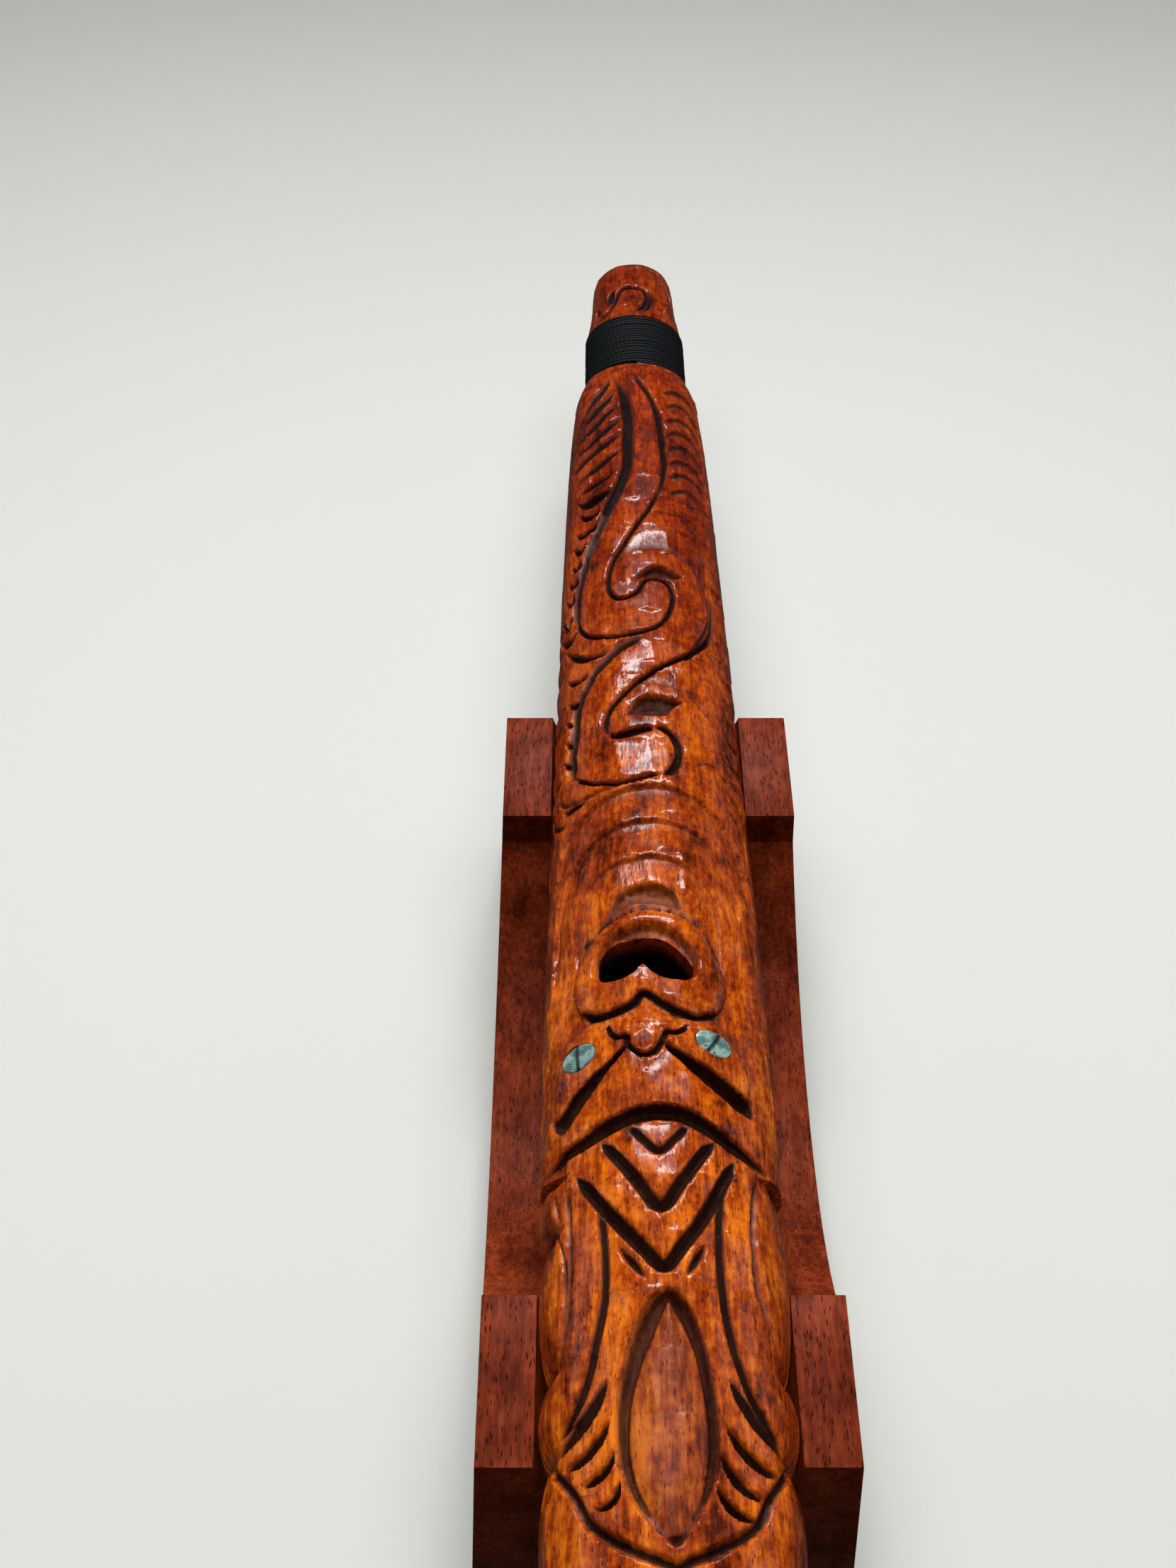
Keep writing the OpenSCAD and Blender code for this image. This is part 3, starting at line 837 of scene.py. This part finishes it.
def hollowed_half(name, inward, up, columns, stain_and_shade=None):
    """A closed half of the flute as an object. Inward is the depth at each point of the sheet's columns
    that are used, up is 1 for the upper half or -1 for the lower, and the last argument is how dark each
    point of the skin is painted, partly as stain and partly as painted shade."""
    points = np.concatenate([outer_skin(inward, up, columns), bore_wall(up)[:, ::-1]], 1)
    count_rows, ring = points.shape[:2]
    index = np.arange(count_rows * ring).reshape(count_rows, ring)
    quads = np.stack([index[:-1], np.roll(index[:-1], -1, 1), np.roll(index[1:], -1, 1), index[1:]], -1)
    quads = quads.reshape(-1, 4)[:, ::-up]
    ends = [index[0][::up], index[-1][::-up]]
    mesh = bpy.data.meshes.new(name)
    mesh.vertices.add(count_rows * ring)
    mesh.vertices.foreach_set("co", (points.reshape(-1) * MM).astype(np.float32))
    loops = np.concatenate([quads.reshape(-1)] + ends).astype(np.int32)
    totals = np.concatenate([np.full(len(quads), 4), [ring, ring]]).astype(np.int32)
    starts = np.concatenate([[0], np.cumsum(totals)[:-1]]).astype(np.int32)
    mesh.loops.add(len(loops))
    mesh.loops.foreach_set("vertex_index", loops)
    mesh.polygons.add(len(totals))
    mesh.polygons.foreach_set("loop_start", starts)
    mesh.polygons.foreach_set("loop_total", totals)
    mesh.update(calc_edges=True)
    # The bore wall is painted fully dark, as painted shade; the skin takes the given stain and painted
    # shade.
    values = np.ones((count_rows, ring), np.float32)
    values[:, :len(columns)] = 0 if stain_and_shade is None else stain_and_shade
    attribute = mesh.attributes.new("cut", "FLOAT", "POINT")
    attribute.data.foreach_set("value", values.reshape(-1))
    mesh.validate()
    half = bpy.data.objects.new(name, mesh)
    bpy.context.scene.collection.objects.link(half)
    return half


print("bore wall of", BORE_COLUMNS, "columns")

# %% [markdown]
# Three short helpers are used from here on: one selects a single piece, one applies a modifier, and one
# counts triangles, which have to stay below a limit.

# %% Piece helpers


def select_only(piece):
    """Makes one object the selected and active one, as an operator expects."""
    bpy.ops.object.select_all(action="DESELECT")
    piece.select_set(True)
    bpy.context.view_layer.objects.active = piece


def apply_modifier(piece, kind, **settings):
    """Adds a modifier with its settings and applies it."""
    modifier = piece.modifiers.new(kind.lower(), kind)
    for key, value in settings.items():
        setattr(modifier, key, value)
    select_only(piece)
    bpy.ops.object.modifier_apply(modifier=modifier.name)


def triangles(piece):
    """How many triangles a piece has."""
    return sum(len(polygon.vertices) - 2 for polygon in piece.data.polygons)


TRIANGLE_LIMIT = 176000
front = hollowed_half("carved_front_half", depth, 1, np.arange(COLUMNS), shade)
before = triangles(front)
if before > TRIANGLE_LIMIT:
    apply_modifier(front, "DECIMATE", ratio=TRIANGLE_LIMIT / before)
print("front half:", before, "triangles, kept", triangles(front))

# %% [markdown]
# The sound hole goes right through the wall, so it is cut as a joiner would cut it: a block of the hole's
# outline, taller than the wall, is taken away with a Boolean modifier. The eyes' sockets are cut so too.

# %% Cut the sound hole and the eye sockets


def upright_block(name, outline, low, high):
    """A closed block over an outline of points in mm, between two heights in mm."""
    mesh = bpy.data.meshes.new(name)
    count = len(outline)
    points = [(u * MM, y * MM, z * MM) for z in (low, high) for u, y in outline]
    walls = [(i, (i + 1) % count, count + (i + 1) % count, count + i) for i in range(count)]
    faces = walls + [tuple(range(count - 1, -1, -1)), tuple(range(count, 2 * count))]
    mesh.from_pydata(points, [], faces)
    block = bpy.data.objects.new(name, mesh)
    bpy.context.scene.collection.objects.link(block)
    select_only(block)
    bpy.ops.object.mode_set(mode="EDIT")
    bpy.ops.mesh.select_all(action="SELECT")
    bpy.ops.mesh.normals_make_consistent(inside=False)
    bpy.ops.object.mode_set(mode="OBJECT")
    return block


def take_away(piece, block, solver="MANIFOLD"):
    """Cuts the block out of the piece and removes the block."""
    apply_modifier(piece, "BOOLEAN", object=block, operation="DIFFERENCE", solver=solver)
    bpy.data.objects.remove(block)


HOLE_BLOCK = (AXIS_Z + 2, AXIS_Z + 30)
hole_curve = smooth(HOLE + [HOLE[0]], 4)[:-1]
take_away(front, upright_block("hole block", hole_curve.tolist(), *HOLE_BLOCK))
print("front half with its hole:", triangles(front), "triangles")

# %% [markdown]
# The inside of the hole is painted dark, as painted shade. The new walls have no value of their own, so
# the attribute is raised there, more the deeper a point lies.

# %% Paint shade inside the hole
HOLE_TOP = 13.6
HOLE_FADE = 3
HOLE_MIDDLE = (-2.2, 4.8)
HOLE_REACH = (12, 8)
places = np.zeros(len(front.data.vertices) * 3, np.float32)
front.data.vertices.foreach_get("co", places)
places = places.reshape(-1, 3) / MM
stain_and_hole_shade = np.zeros(len(places), np.float32)
front.data.attributes["cut"].data.foreach_get("value", stain_and_hole_shade)
# Painted shade: points below the hole's top get darker the deeper they lie.
hole_shade = np.clip((AXIS_Z + HOLE_TOP - places[:, 2]) / HOLE_FADE, 0, 1)
in_hole = np.all(np.abs(places[:, :2] - HOLE_MIDDLE) < HOLE_REACH, axis=1)
stain_and_hole_shade = np.where(in_hole, np.maximum(stain_and_hole_shade, hole_shade), stain_and_hole_shade)
front.data.attributes["cut"].data.foreach_set("value", stain_and_hole_shade.astype(np.float32))
print("points in the hole:", int(in_hole.sum()))

# %% [markdown]
# ## Eyes
# Each eye is a small oval of sea-snail shell, ground to a low dome and set in a socket. A flattened
# cylinder is the start. It is extruded again and again, each time narrower and less high, which builds up
# a dome, and its straight rim holds it in the wood. The same oval, a little larger, cuts the socket.
#
# Known fault: all of the block's points are still selected when the extrusions start, so more than its top
# face is extruded. Each eye keeps hidden faces inside, and isn't one clean skin. To mend it, deselect
# everything in edit mode before the top face is picked.

# %% Shell eyes
EYES = {"left": (-44.3, -16.2, 14), "right": (27.6, -14.8, -22)}
EYE_LENGTH = 7.6
EYE_WIDTH = 5.4
EYE_CROWN, EYE_BOTTOM = -0.2, -2.3
SOCKET_PLAY = (0.12, 0.06)
SOCKET_TOP = 6
DOME_STEPS = ((0.93, 0.12), (0.86, 0.1), (0.8, 0.08), (0.72, 0.06), (0.6, 0.04), (0.4, 0.02))
EYE_RIM = EYE_CROWN - sum(rise for _, rise in DOME_STEPS)


def eye_frame(side):
    """The place on the smooth skin where an eye goes, and the two turns that set it in there."""
    from_top, y, turn = EYES[side]
    around = math.radians(from_top)
    size = float(body_radius(y))
    place = Vector((size * math.sin(around), y, AXIS_Z + size * FLATNESS * math.cos(around))) * MM
    lean = math.atan2(math.sin(around) * FLATNESS, math.cos(around))
    return place, lean, math.radians(turn)


def oval_piece(name, side, grow, top, bottom, dome):
    """An oval block set into the skin, from bottom to top along its own axis, with a domed crown."""
    bpy.ops.object.select_all(action="DESELECT")
    bpy.ops.mesh.primitive_cylinder_add(vertices=48, radius=0.5, depth=1, end_fill_type="NGON")
    piece = bpy.context.object
    piece.name = name
    bpy.ops.object.mode_set(mode="EDIT")
    bpy.ops.mesh.select_all(action="SELECT")
    size = Vector((EYE_LENGTH + 2 * grow, EYE_WIDTH + 2 * grow, top - bottom)) * MM
    bpy.ops.transform.resize(value=size)
    bpy.ops.transform.translate(value=(0, 0, (top + bottom) / 2 * MM))
    bpy.ops.object.mode_set(mode="OBJECT")
    mesh = piece.data
    if dome:
        for polygon in mesh.polygons:
            polygon.select = polygon.normal.z > 0.9
        bpy.ops.object.mode_set(mode="EDIT")
        bpy.ops.mesh.select_mode(type="FACE")
        for share, rise in DOME_STEPS:
            bpy.ops.mesh.extrude_region()
            bpy.ops.transform.resize(value=(share, share, 1))
            bpy.ops.transform.translate(value=(0, 0, rise * MM))
        bpy.ops.object.mode_set(mode="OBJECT")
    place, lean, turn = eye_frame(side)
    points = np.array([v.co for v in mesh.vertices])
    layer = mesh.uv_layers[0]
    layer.name = "shell"
    for loop in mesh.loops:
        layer.data[loop.index].uv = points[loop.vertex_index][:2] / MM
    spin = np.array([[math.cos(turn), -math.sin(turn), 0], [math.sin(turn), math.cos(turn), 0], [0, 0, 1]])
    tip = np.array([[math.cos(lean), 0, math.sin(lean)], [0, 1, 0], [-math.sin(lean), 0, math.cos(lean)]])
    points = points @ spin.T @ tip.T + np.array(place)
    mesh.vertices.foreach_set("co", points.astype(np.float32).ravel())
    mesh.update()
    return piece


eyes = {}
for side in EYES:
    beside, under = SOCKET_PLAY
    take_away(front, oval_piece("socket block", side, beside, SOCKET_TOP, EYE_BOTTOM - under, False))
    eyes[side] = oval_piece(side + "_eye", side, 0, EYE_RIM, EYE_BOTTOM, True)
    select_only(eyes[side])
    bpy.ops.object.shade_smooth_by_angle(angle=math.radians(40))
print("eyes set, front half:", triangles(front), "triangles")

# %% [markdown]
# The lower half has no carving. Its skin is only planed and scraped, so it gets long, very shallow flats.

# %% Plain back half
BACK_LIMIT = 60000
FLATS = (6.5, 46, 0.07)
FLATS_FADE = 0.1
LOBES_FADE = 0.7
keep = np.linspace(0, COLUMNS - 1, COLUMNS // 2 + 1).round().astype(int)
flats = np.clip(dishes(U, Y, *FLATS, 5)[:, keep], 0, 1) * np.clip(from_joint[keep] / FLATS_FADE, 0, 1)
flats = np.where(bound[:, keep], 0, flats) + seam[keep]
lobes_left = np.clip(1 - from_joint[keep] / LOBES_FADE, 0, 1) ** 1.5
flats += np.where(angle[keep] < 0, sides[:, :1], sides[:, -1:]) * lobes_left
back = hollowed_half("plain_back_half", flats, -1, keep)
before = triangles(back)
apply_modifier(back, "DECIMATE", ratio=min(1, BACK_LIMIT / before))
print("back half:", before, "triangles, kept", triangles(back))

# %% [markdown]
# Both halves are shaded smooth, except across edges sharper than a cut's walls, and the Weighted Normal
# modifier keeps large facets flat beside small faces.

# %% Smooth shading of the halves
SHARP_EDGE = 66
for half in (front, back):
    select_only(half)
    bpy.ops.object.shade_smooth_by_angle(angle=math.radians(SHARP_EDGE))
    apply_modifier(half, "WEIGHTED_NORMAL", mode="FACE_AREA", weight=60, keep_sharp=True)
print("edges sharper than", SHARP_EDGE, "degrees stay sharp")

# %% [markdown]
# ## Stand
# The cradle is one block of wood. It starts as a cube, whose top face is drawn in so that all sides lean,
# then the hollow between the uprights and the two notches are cut out with Booleans, and a Bevel modifier
# breaks the sharp edges as sandpaper would.

# %% Stand block
TOP_WIDTH, TOP_LENGTH = 66, 180
BASE_WIDTH, BASE_LENGTH = 71.2, 192
STAND_HEIGHT = 52
GAP = 117
HOLLOW_RADIUS = 77.63
HOLLOW_Z = 94.03
NOTCH_GAP = 0.5

bpy.ops.object.select_all(action="DESELECT")
bpy.ops.mesh.primitive_cube_add(size=1)
stand = bpy.context.object
stand.name = "cradle"
bpy.ops.object.mode_set(mode="EDIT")
bpy.ops.mesh.select_all(action="SELECT")
bpy.ops.transform.resize(value=(BASE_WIDTH * MM, BASE_LENGTH * MM, STAND_HEIGHT * MM))
bpy.ops.transform.translate(value=(0, 0, STAND_HEIGHT / 2 * MM))
bpy.ops.mesh.select_all(action="DESELECT")
bpy.ops.object.mode_set(mode="OBJECT")
for polygon in stand.data.polygons:
    polygon.select = polygon.normal.z > 0.9
bpy.ops.object.mode_set(mode="EDIT")
bpy.ops.mesh.select_mode(type="FACE")
bpy.ops.transform.resize(value=(TOP_WIDTH / BASE_WIDTH, TOP_LENGTH / BASE_LENGTH, 1))
bpy.ops.object.mode_set(mode="OBJECT")
print("stand block:", len(stand.data.polygons), "faces")

# %% [markdown]
# Both cutters start as a cylinder lying on its side. The hollow's one is trimmed flat at both ends of the
# gap with bisect, and a notch's one is stretched to the flute's own oval, plus a little room.

# %% Cut the hollow and the notches
CUTTER_LENGTH = 100
NOTCH_MIDDLE = 80
EDGE_WIDTH = 0.7


def lying_cylinder(sides_count, radius_m, length_m, turn):
    """A cylinder round the origin, turned onto its side and open in edit mode with all of it selected."""
    bpy.ops.object.select_all(action="DESELECT")
    bpy.ops.mesh.primitive_cylinder_add(vertices=sides_count, radius=radius_m, depth=length_m,
                                        location=(0, 0, 0), rotation=turn)
    bpy.ops.object.transform_apply(rotation=True)
    bpy.ops.object.mode_set(mode="EDIT")
    bpy.ops.mesh.select_all(action="SELECT")
    return bpy.context.object


def cut_stand(cutter, move):
    """Moves an open cutter to its place and takes it away from the stand."""
    bpy.ops.mesh.select_all(action="SELECT")
    bpy.ops.transform.translate(value=Vector(move) * MM)
    bpy.ops.mesh.normals_make_consistent(inside=False)
    bpy.ops.object.mode_set(mode="OBJECT")
    take_away(stand, cutter, "EXACT")


cutter = lying_cylinder(256, HOLLOW_RADIUS * MM, CUTTER_LENGTH * MM, (0, math.pi / 2, 0))
for sign in (-1, 1):
    bpy.ops.mesh.select_all(action="SELECT")
    bpy.ops.mesh.bisect(plane_co=(0, sign * GAP / 2 * MM, 0), plane_no=(0, sign, 0), use_fill=True,
                        clear_outer=True)
cut_stand(cutter, (0, 0, HOLLOW_Z))
for sign in (-1, 1):
    enter = float(body_radius(sign * GAP / 2))
    cutter = lying_cylinder(192, 1, 1, (math.pi / 2, 0, 0))
    size = Vector((enter + NOTCH_GAP, CUTTER_LENGTH, enter * FLATNESS + NOTCH_GAP)) * MM
    bpy.ops.transform.resize(value=size)
    cut_stand(cutter, (0, sign * NOTCH_MIDDLE, AXIS_Z))
apply_modifier(stand, "BEVEL", width=EDGE_WIDTH * MM, segments=3, limit_method="ANGLE",
               angle_limit=math.radians(35), use_clamp_overlap=True)
bpy.ops.object.shade_smooth_by_angle(angle=math.radians(30))
print("stand:", triangles(stand), "triangles")

# %% [markdown]
# ## Thread bindings
# Black waxed thread is wound side by side round the neck at each end, one thread in nineteen turns. A tube
# along a slanting coil is exactly that, and no primitive gives it, so it is built from its middle line. Its
# UV map runs round the thread and along it, so that the material can draw the twist of its strands.

# %% Wind the thread
THREAD = 1.3
TURNS = 19
STEPS_PER_TURN = 72
THREAD_SIDES = 8
SPACING_WANDER, HEIGHT_WANDER = 0.07, 0.05
PRESSED_IN, LOOSE_ON_FLATS = 0.02, 0.18
BINDING_MARGIN = 0.1


def thread_line(start, end):
    """The middle line of one wound thread, with small wanderings, and which way is out at each point."""
    turn = np.arange(TURNS * STEPS_PER_TURN + 1) / STEPS_PER_TURN
    random = np.random.default_rng(3)
    wander = np.interp(turn, np.arange(TURNS + 2), random.normal(0, SPACING_WANDER, TURNS + 2))
    lift = np.interp(turn, np.arange(TURNS + 2), random.normal(0, HEIGHT_WANDER, TURNS + 2))
    at_ends = np.clip(turn, 0, 1) * np.clip(TURNS - turn, 0, 1)
    y = start + THREAD / 2 + (end - start - THREAD) * turn / TURNS + wander * at_ends
    wide = CORE_RADIUS + THREAD / 2 - PRESSED_IN + lift
    around = 2 * math.pi * turn
    line = np.stack([wide * np.sin(around), y, (wide * FLATNESS + LOOSE_ON_FLATS) * np.cos(around)], 1)
    outwards = np.stack([np.sin(around), np.zeros(len(turn)), np.cos(around) / FLATNESS], 1)
    return line, outwards / np.linalg.norm(outwards, axis=1)[:, None]


def map_thread(mesh, line):
    """Gives the tube a UV map: u once round the thread, v along it in mm."""
    lengths = np.concatenate([[0], np.cumsum(np.linalg.norm(np.diff(line, axis=0), axis=1))])
    side = np.arange(THREAD_SIDES)
    coords = np.zeros((len(line) - 1, THREAD_SIDES, 4, 2))
    coords[..., 0] = np.stack([side, side + 1, side + 1, side], -1) / THREAD_SIDES
    coords[..., 1] = np.stack([lengths[:-1], lengths[:-1], lengths[1:], lengths[1:]], -1)[:, None, :]
    end_faces = np.zeros(2 * THREAD_SIDES * 2)
    layer = mesh.uv_layers.new(name="thread")
    layer.data.foreach_set("uv", np.concatenate([coords.reshape(-1), end_faces]).astype(np.float32))


def winding(name, start, end, sign):
    """One thread wound from start to end, in mm from the flute's middle, at its +Y or -Y end."""
    line, outwards = thread_line(start, end)
    round_angle = np.linspace(0, 2 * math.pi, THREAD_SIDES, endpoint=False)[None, :, None]
    tube = line[:, None, :] + THREAD / 2 * (np.cos(round_angle) * outwards[:, None, :]
                                            + np.sin(round_angle) * np.array([0, 1, 0]))
    tube = tube * (1, sign, 1) + (0, 0, AXIS_Z)
    index = np.arange(len(line) * THREAD_SIDES).reshape(-1, THREAD_SIDES)
    quads = np.stack([index[:-1], np.roll(index[:-1], -1, 1), np.roll(index[1:], -1, 1), index[1:]], -1)
    faces = quads.reshape(-1, 4).tolist() + [index[0][::-1].tolist(), index[-1].tolist()]
    mesh = bpy.data.meshes.new(name)
    mesh.from_pydata((tube.reshape(-1, 3) * MM).tolist(), [], faces)
    map_thread(mesh, line)
    piece = bpy.data.objects.new(name, mesh)
    bpy.context.scene.collection.objects.link(piece)
    select_only(piece)
    bpy.ops.object.mode_set(mode="EDIT")
    bpy.ops.mesh.select_all(action="SELECT")
    bpy.ops.mesh.normals_make_consistent(inside=False)
    bpy.ops.object.mode_set(mode="OBJECT")
    bpy.ops.object.shade_smooth()
    return piece


first, last = BIND_START + BINDING_MARGIN, BIND_END - BINDING_MARGIN
head_thread = winding("head_thread", first, last, 1)
tail_thread = winding("tail_thread", first, last, -1)
print("threads:", triangles(head_thread), "triangles each")

# %% [markdown]
# ## Varnished carved wood
# The flute is a red-brown hardwood under gloss varnish. Long pores run along the grain as fine dark
# dashes, the colour drifts from orange to brown in soft streaks, and the cuts are dark and dull: their dark
# is partly stain and dirt and partly painted shade. That darkening was kept as an attribute, so it follows
# the cuts exactly. Both woods grow darker towards +Y, the flute's blowing end, the stand less. The stand is
# a plainer, darker wood under satin varnish, with more pores.

# %% Wood materials
STREAK_SIZE = (5 * MM, 60 * MM, 5 * MM)
FINE_SIZE = (0.9 * MM, 5 * MM, 0.9 * MM)
PORE_SIZE = (0.5 * MM, 2.8 * MM, 0.5 * MM)
BLOTCH_SIZE = 14 * MM
SPECKLE_SIZE = 2.2 * MM
TONE_FROM, TONE_TO = -40 * MM, 150 * MM


def stretched(material, place, size):
    """Object coordinates divided by the size of one patch of a pattern, in metres."""
    return add_node(material, "Mapping", {"Vector": place}, Scale=[1 / side for side in size]).outputs[0]


def grain(material, place, speckled):
    """The wood's tone from streaks, blotches, fine fibres and speckles, and the fibres on their own."""
    streaks = add_node(material, "TexNoise", {"Vector": stretched(material, place, STREAK_SIZE)}, Scale=1,
                       Detail=4, Roughness=0.6).outputs["Fac"]
    blotches = add_node(material, "TexNoise", {"Vector": place}, Scale=1 / BLOTCH_SIZE, Detail=3,
                        Roughness=0.65).outputs["Fac"]
    fine = add_node(material, "TexNoise", {"Vector": stretched(material, place, FINE_SIZE)}, Scale=1,
                    Detail=3, Roughness=0.6).outputs["Fac"]
    speckle = add_node(material, "TexNoise", {"Vector": place}, Scale=1 / SPECKLE_SIZE, Detail=5,
                       Roughness=0.75).outputs["Fac"]
    broad = add_node(material, "Math", {"i0": streaks, "i1": blotches}, operation="ADD").outputs[0]
    fibrous = add_node(material, "Math", {"i0": broad, "i1": fine}, operation="ADD").outputs[0]
    mixed = add_node(material, "Math", {"i0": speckle, "i2": fibrous}, operation="MULTIPLY_ADD",
                     i1=speckled)
    return mixed.outputs[0], fine


def blend(material, factor, colour, hex_colour, how="MIX"):
    """Mixes a fixed colour into a colour by a factor."""
    return add_node(material, "Mix", {"Factor": factor, "i6": colour}, data_type="RGBA", blend_type=how,
                    i7=linear(hex_colour)).outputs[2]


def wood(name, tones, cut_tone, far_tone, gloss, coat, pore_share, speckled, shine):
    """A varnished hardwood whose grain runs along Y. Tones are its dark, middle and light colours. Pores
    are drawn about twice as coarse as real ones, in cells of 0.5 by 2.8 mm, so that they show."""
    material = new_material(name)
    place = add_node(material, "TexCoord").outputs["Object"]
    mixed, fine = grain(material, place, speckled)
    tone = add_node(material, "MapRange", {"Value": mixed}, From_Min=1.22 + 0.42 * speckled,
                    From_Max=1.78 + 0.58 * speckled).outputs[0]
    colour = ramp(material, tone, list(zip((0.0, 0.45, 1.0), tones)))
    pores = add_node(material, "TexVoronoi", {"Vector": stretched(material, place, PORE_SIZE)}, Scale=1,
                     Randomness=1.0).outputs["Distance"]
    pore = add_node(material, "MapRange", {"Value": pores}, From_Min=pore_share, From_Max=pore_share + 0.1,
                    To_Min=0.85, To_Max=0.0).outputs[0]
    colour = blend(material, pore, colour, cut_tone)
    # The colour is multiplied darker towards +Y, the flute's blowing end.
    along = add_node(material, "SeparateXYZ", {"Vector": place}).outputs["Y"]
    far = add_node(material, "MapRange", {"Value": along}, From_Min=TONE_FROM, From_Max=TONE_TO).outputs[0]
    colour = blend(material, far, colour, far_tone, "MULTIPLY")
    # The cut attribute paints the cuts and the bore dark, partly as stain and dirt and partly as painted
    # shade.
    cuts = add_node(material, "Attribute", attribute_name="cut").outputs["Fac"]
    in_cut = add_node(material, "MapRange", {"Value": cuts}, From_Min=0.22, From_Max=0.8,
                      To_Max=0.97).outputs[0]
    colour = blend(material, in_cut, colour, cut_tone)
    varnish = add_node(material, "MapRange", {"Value": mixed}, From_Min=1.1, From_Max=1.9,
                       To_Min=gloss + 0.1, To_Max=gloss - 0.04).outputs[0]
    rough = add_node(material, "MapRange", {"Value": in_cut, "To_Min": varnish}, To_Max=0.9).outputs[0]
    height = add_node(material, "Math", {"i0": fine, "i1": pore}, operation="SUBTRACT").outputs[0]
    bump = add_node(material, "Bump", {"Height": height}, Strength=0.7, Distance=0.12 * MM).outputs[0]
    return finish_material(material, {"Base_Color": colour, "Roughness": rough, "Normal": bump}, IOR=1.5,
                           Specular_IOR_Level=shine, Coat_Weight=coat, Coat_Roughness=0.2)


carved_wood = wood("gloss varnished carved hardwood", ("#4b1300", "#a03c05", "#e2740e"), "#0b0100",
                   "#c89c90", gloss=0.19, coat=0.06, pore_share=0.12, speckled=1.0, shine=0.45)
stand_wood = wood("satin varnished hardwood", ("#4c1708", "#6b2710", "#8e3b1c"), "#160301", "#f0dcd6",
                  gloss=0.4, coat=0.0, pore_share=0.18, speckled=0.4, shine=0.06)
for piece, finish in ((front, carved_wood), (back, carved_wood), (stand, stand_wood)):
    piece.data.materials.clear()
    piece.data.materials.append(finish)
print("woods:", carved_wood.name, "and", stand_wood.name)

# %% [markdown]
# ## Waxed thread and shell
# Waxed thread is nearly black with a dull shine, and its two twisted strands show as slanting ridges: a
# sine wave whose phase grows both round the thread and along it. The shell is blue-green, banded by dark
# growth lines, and shines through a thin polished layer.

# %% Thread material
STRANDS = 2
TWIST_LENGTH = 2.4
waxed = new_material("black waxed thread")
thread_uv = add_node(waxed, "UVMap", uv_map="thread")
parts = add_node(waxed, "SeparateXYZ", {"Vector": thread_uv.outputs[0]})
lay = add_node(waxed, "Math", {"i0": parts.outputs["Y"]}, operation="MULTIPLY", i1=STRANDS / TWIST_LENGTH)
phase = add_node(waxed, "Math", {"i0": parts.outputs["X"], "i2": lay.outputs[0]},
                 operation="MULTIPLY_ADD", i1=STRANDS)
wave = add_node(waxed, "Math", {"i0": phase.outputs[0]}, operation="MULTIPLY", i1=2 * math.pi)
strand = add_node(waxed, "Math", {"i0": wave.outputs[0]}, operation="SINE")
ridge = add_node(waxed, "MapRange", {"Value": strand.outputs[0]}, From_Min=-1, From_Max=1).outputs[0]
thread_bump = add_node(waxed, "Bump", {"Height": ridge}, Strength=0.6, Distance=0.12 * MM)
# The ramp paints the grooves between the strands darker than their crests: painted shade.
thread_colour_and_shade = ramp(waxed, ridge, [(0.0, "#060809"), (1.0, "#12181a")])
finish_material(waxed, {"Base_Color": thread_colour_and_shade, "Normal": thread_bump.outputs[0]}, Roughness=0.55,
                IOR=1.35)
for piece in (head_thread, tail_thread):
    piece.data.materials.append(waxed)
print("thread twists once in", TWIST_LENGTH, "mm")

# %% [markdown]
# The shell's colour drifts between green and blue in soft clouds a few millimetres wide. Its growth lines
# are a Wave texture of bands about 4 mm apart, bent by distortion, that multiplies the colour.

# %% Shell material
CLOUD_SCALE = 0.35
BAND_SCALE = 0.075
shell = new_material("polished sea-snail shell")
shell_uv = add_node(shell, "UVMap", uv_map="shell").outputs[0]
bands = add_node(shell, "TexWave", {"Vector": shell_uv}, wave_type="BANDS", Scale=BAND_SCALE,
                 Distortion=4.5, Detail=1.5, Detail_Scale=0.6)
clouds = add_node(shell, "TexNoise", {"Vector": shell_uv}, Scale=CLOUD_SCALE, Detail=2)
cloud_colour = ramp(shell, clouds.outputs["Fac"], [(0.3, "#365658"), (0.45, "#54726e"), (0.58, "#8aaba0"),
                                                   (0.75, "#5e7488")])
band_colour = ramp(shell, bands.outputs["Fac"], [(0.0, "#35474b"), (0.1, "#a9c0be"), (0.22, "#ffffff")])
shell_colour = add_node(shell, "Mix", {"i6": cloud_colour, "i7": band_colour}, data_type="RGBA",
                        blend_type="MULTIPLY", Factor=1.0).outputs[2]
finish_material(shell, {"Base_Color": shell_colour}, Roughness=0.25, IOR=1.53, Coat_Weight=0.8,
                Coat_Roughness=0.05)
for piece in eyes.values():
    piece.data.materials.clear()
    piece.data.materials.append(shell)
print("materials:", [m.name for m in bpy.data.materials])

# %% [markdown]
# ## Bodies and CAD nodes
# Each piece rides on its body, stands for its CAD node and has a finish listed beside it.

# %% Bodies, nodes and slots
HAND_IN = [(stand, "stand", "stand_wood", ["stand"]),
           (front, "flute", "carved_wood", ["flute_front_half"]),
           (back, "flute", "carved_wood", ["flute_back_half"]),
           (head_thread, "flute", "waxed_thread", ["head_binding"]),
           (tail_thread, "flute", "waxed_thread", ["tail_binding"]),
           (eyes["left"], "flute", "shell_inlay", ["left_eye_shell"]),
           (eyes["right"], "flute", "shell_inlay", ["right_eye_shell"])]
for piece, body, finish_slot, nodes in HAND_IN:
    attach(piece, body)
    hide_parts(*nodes)
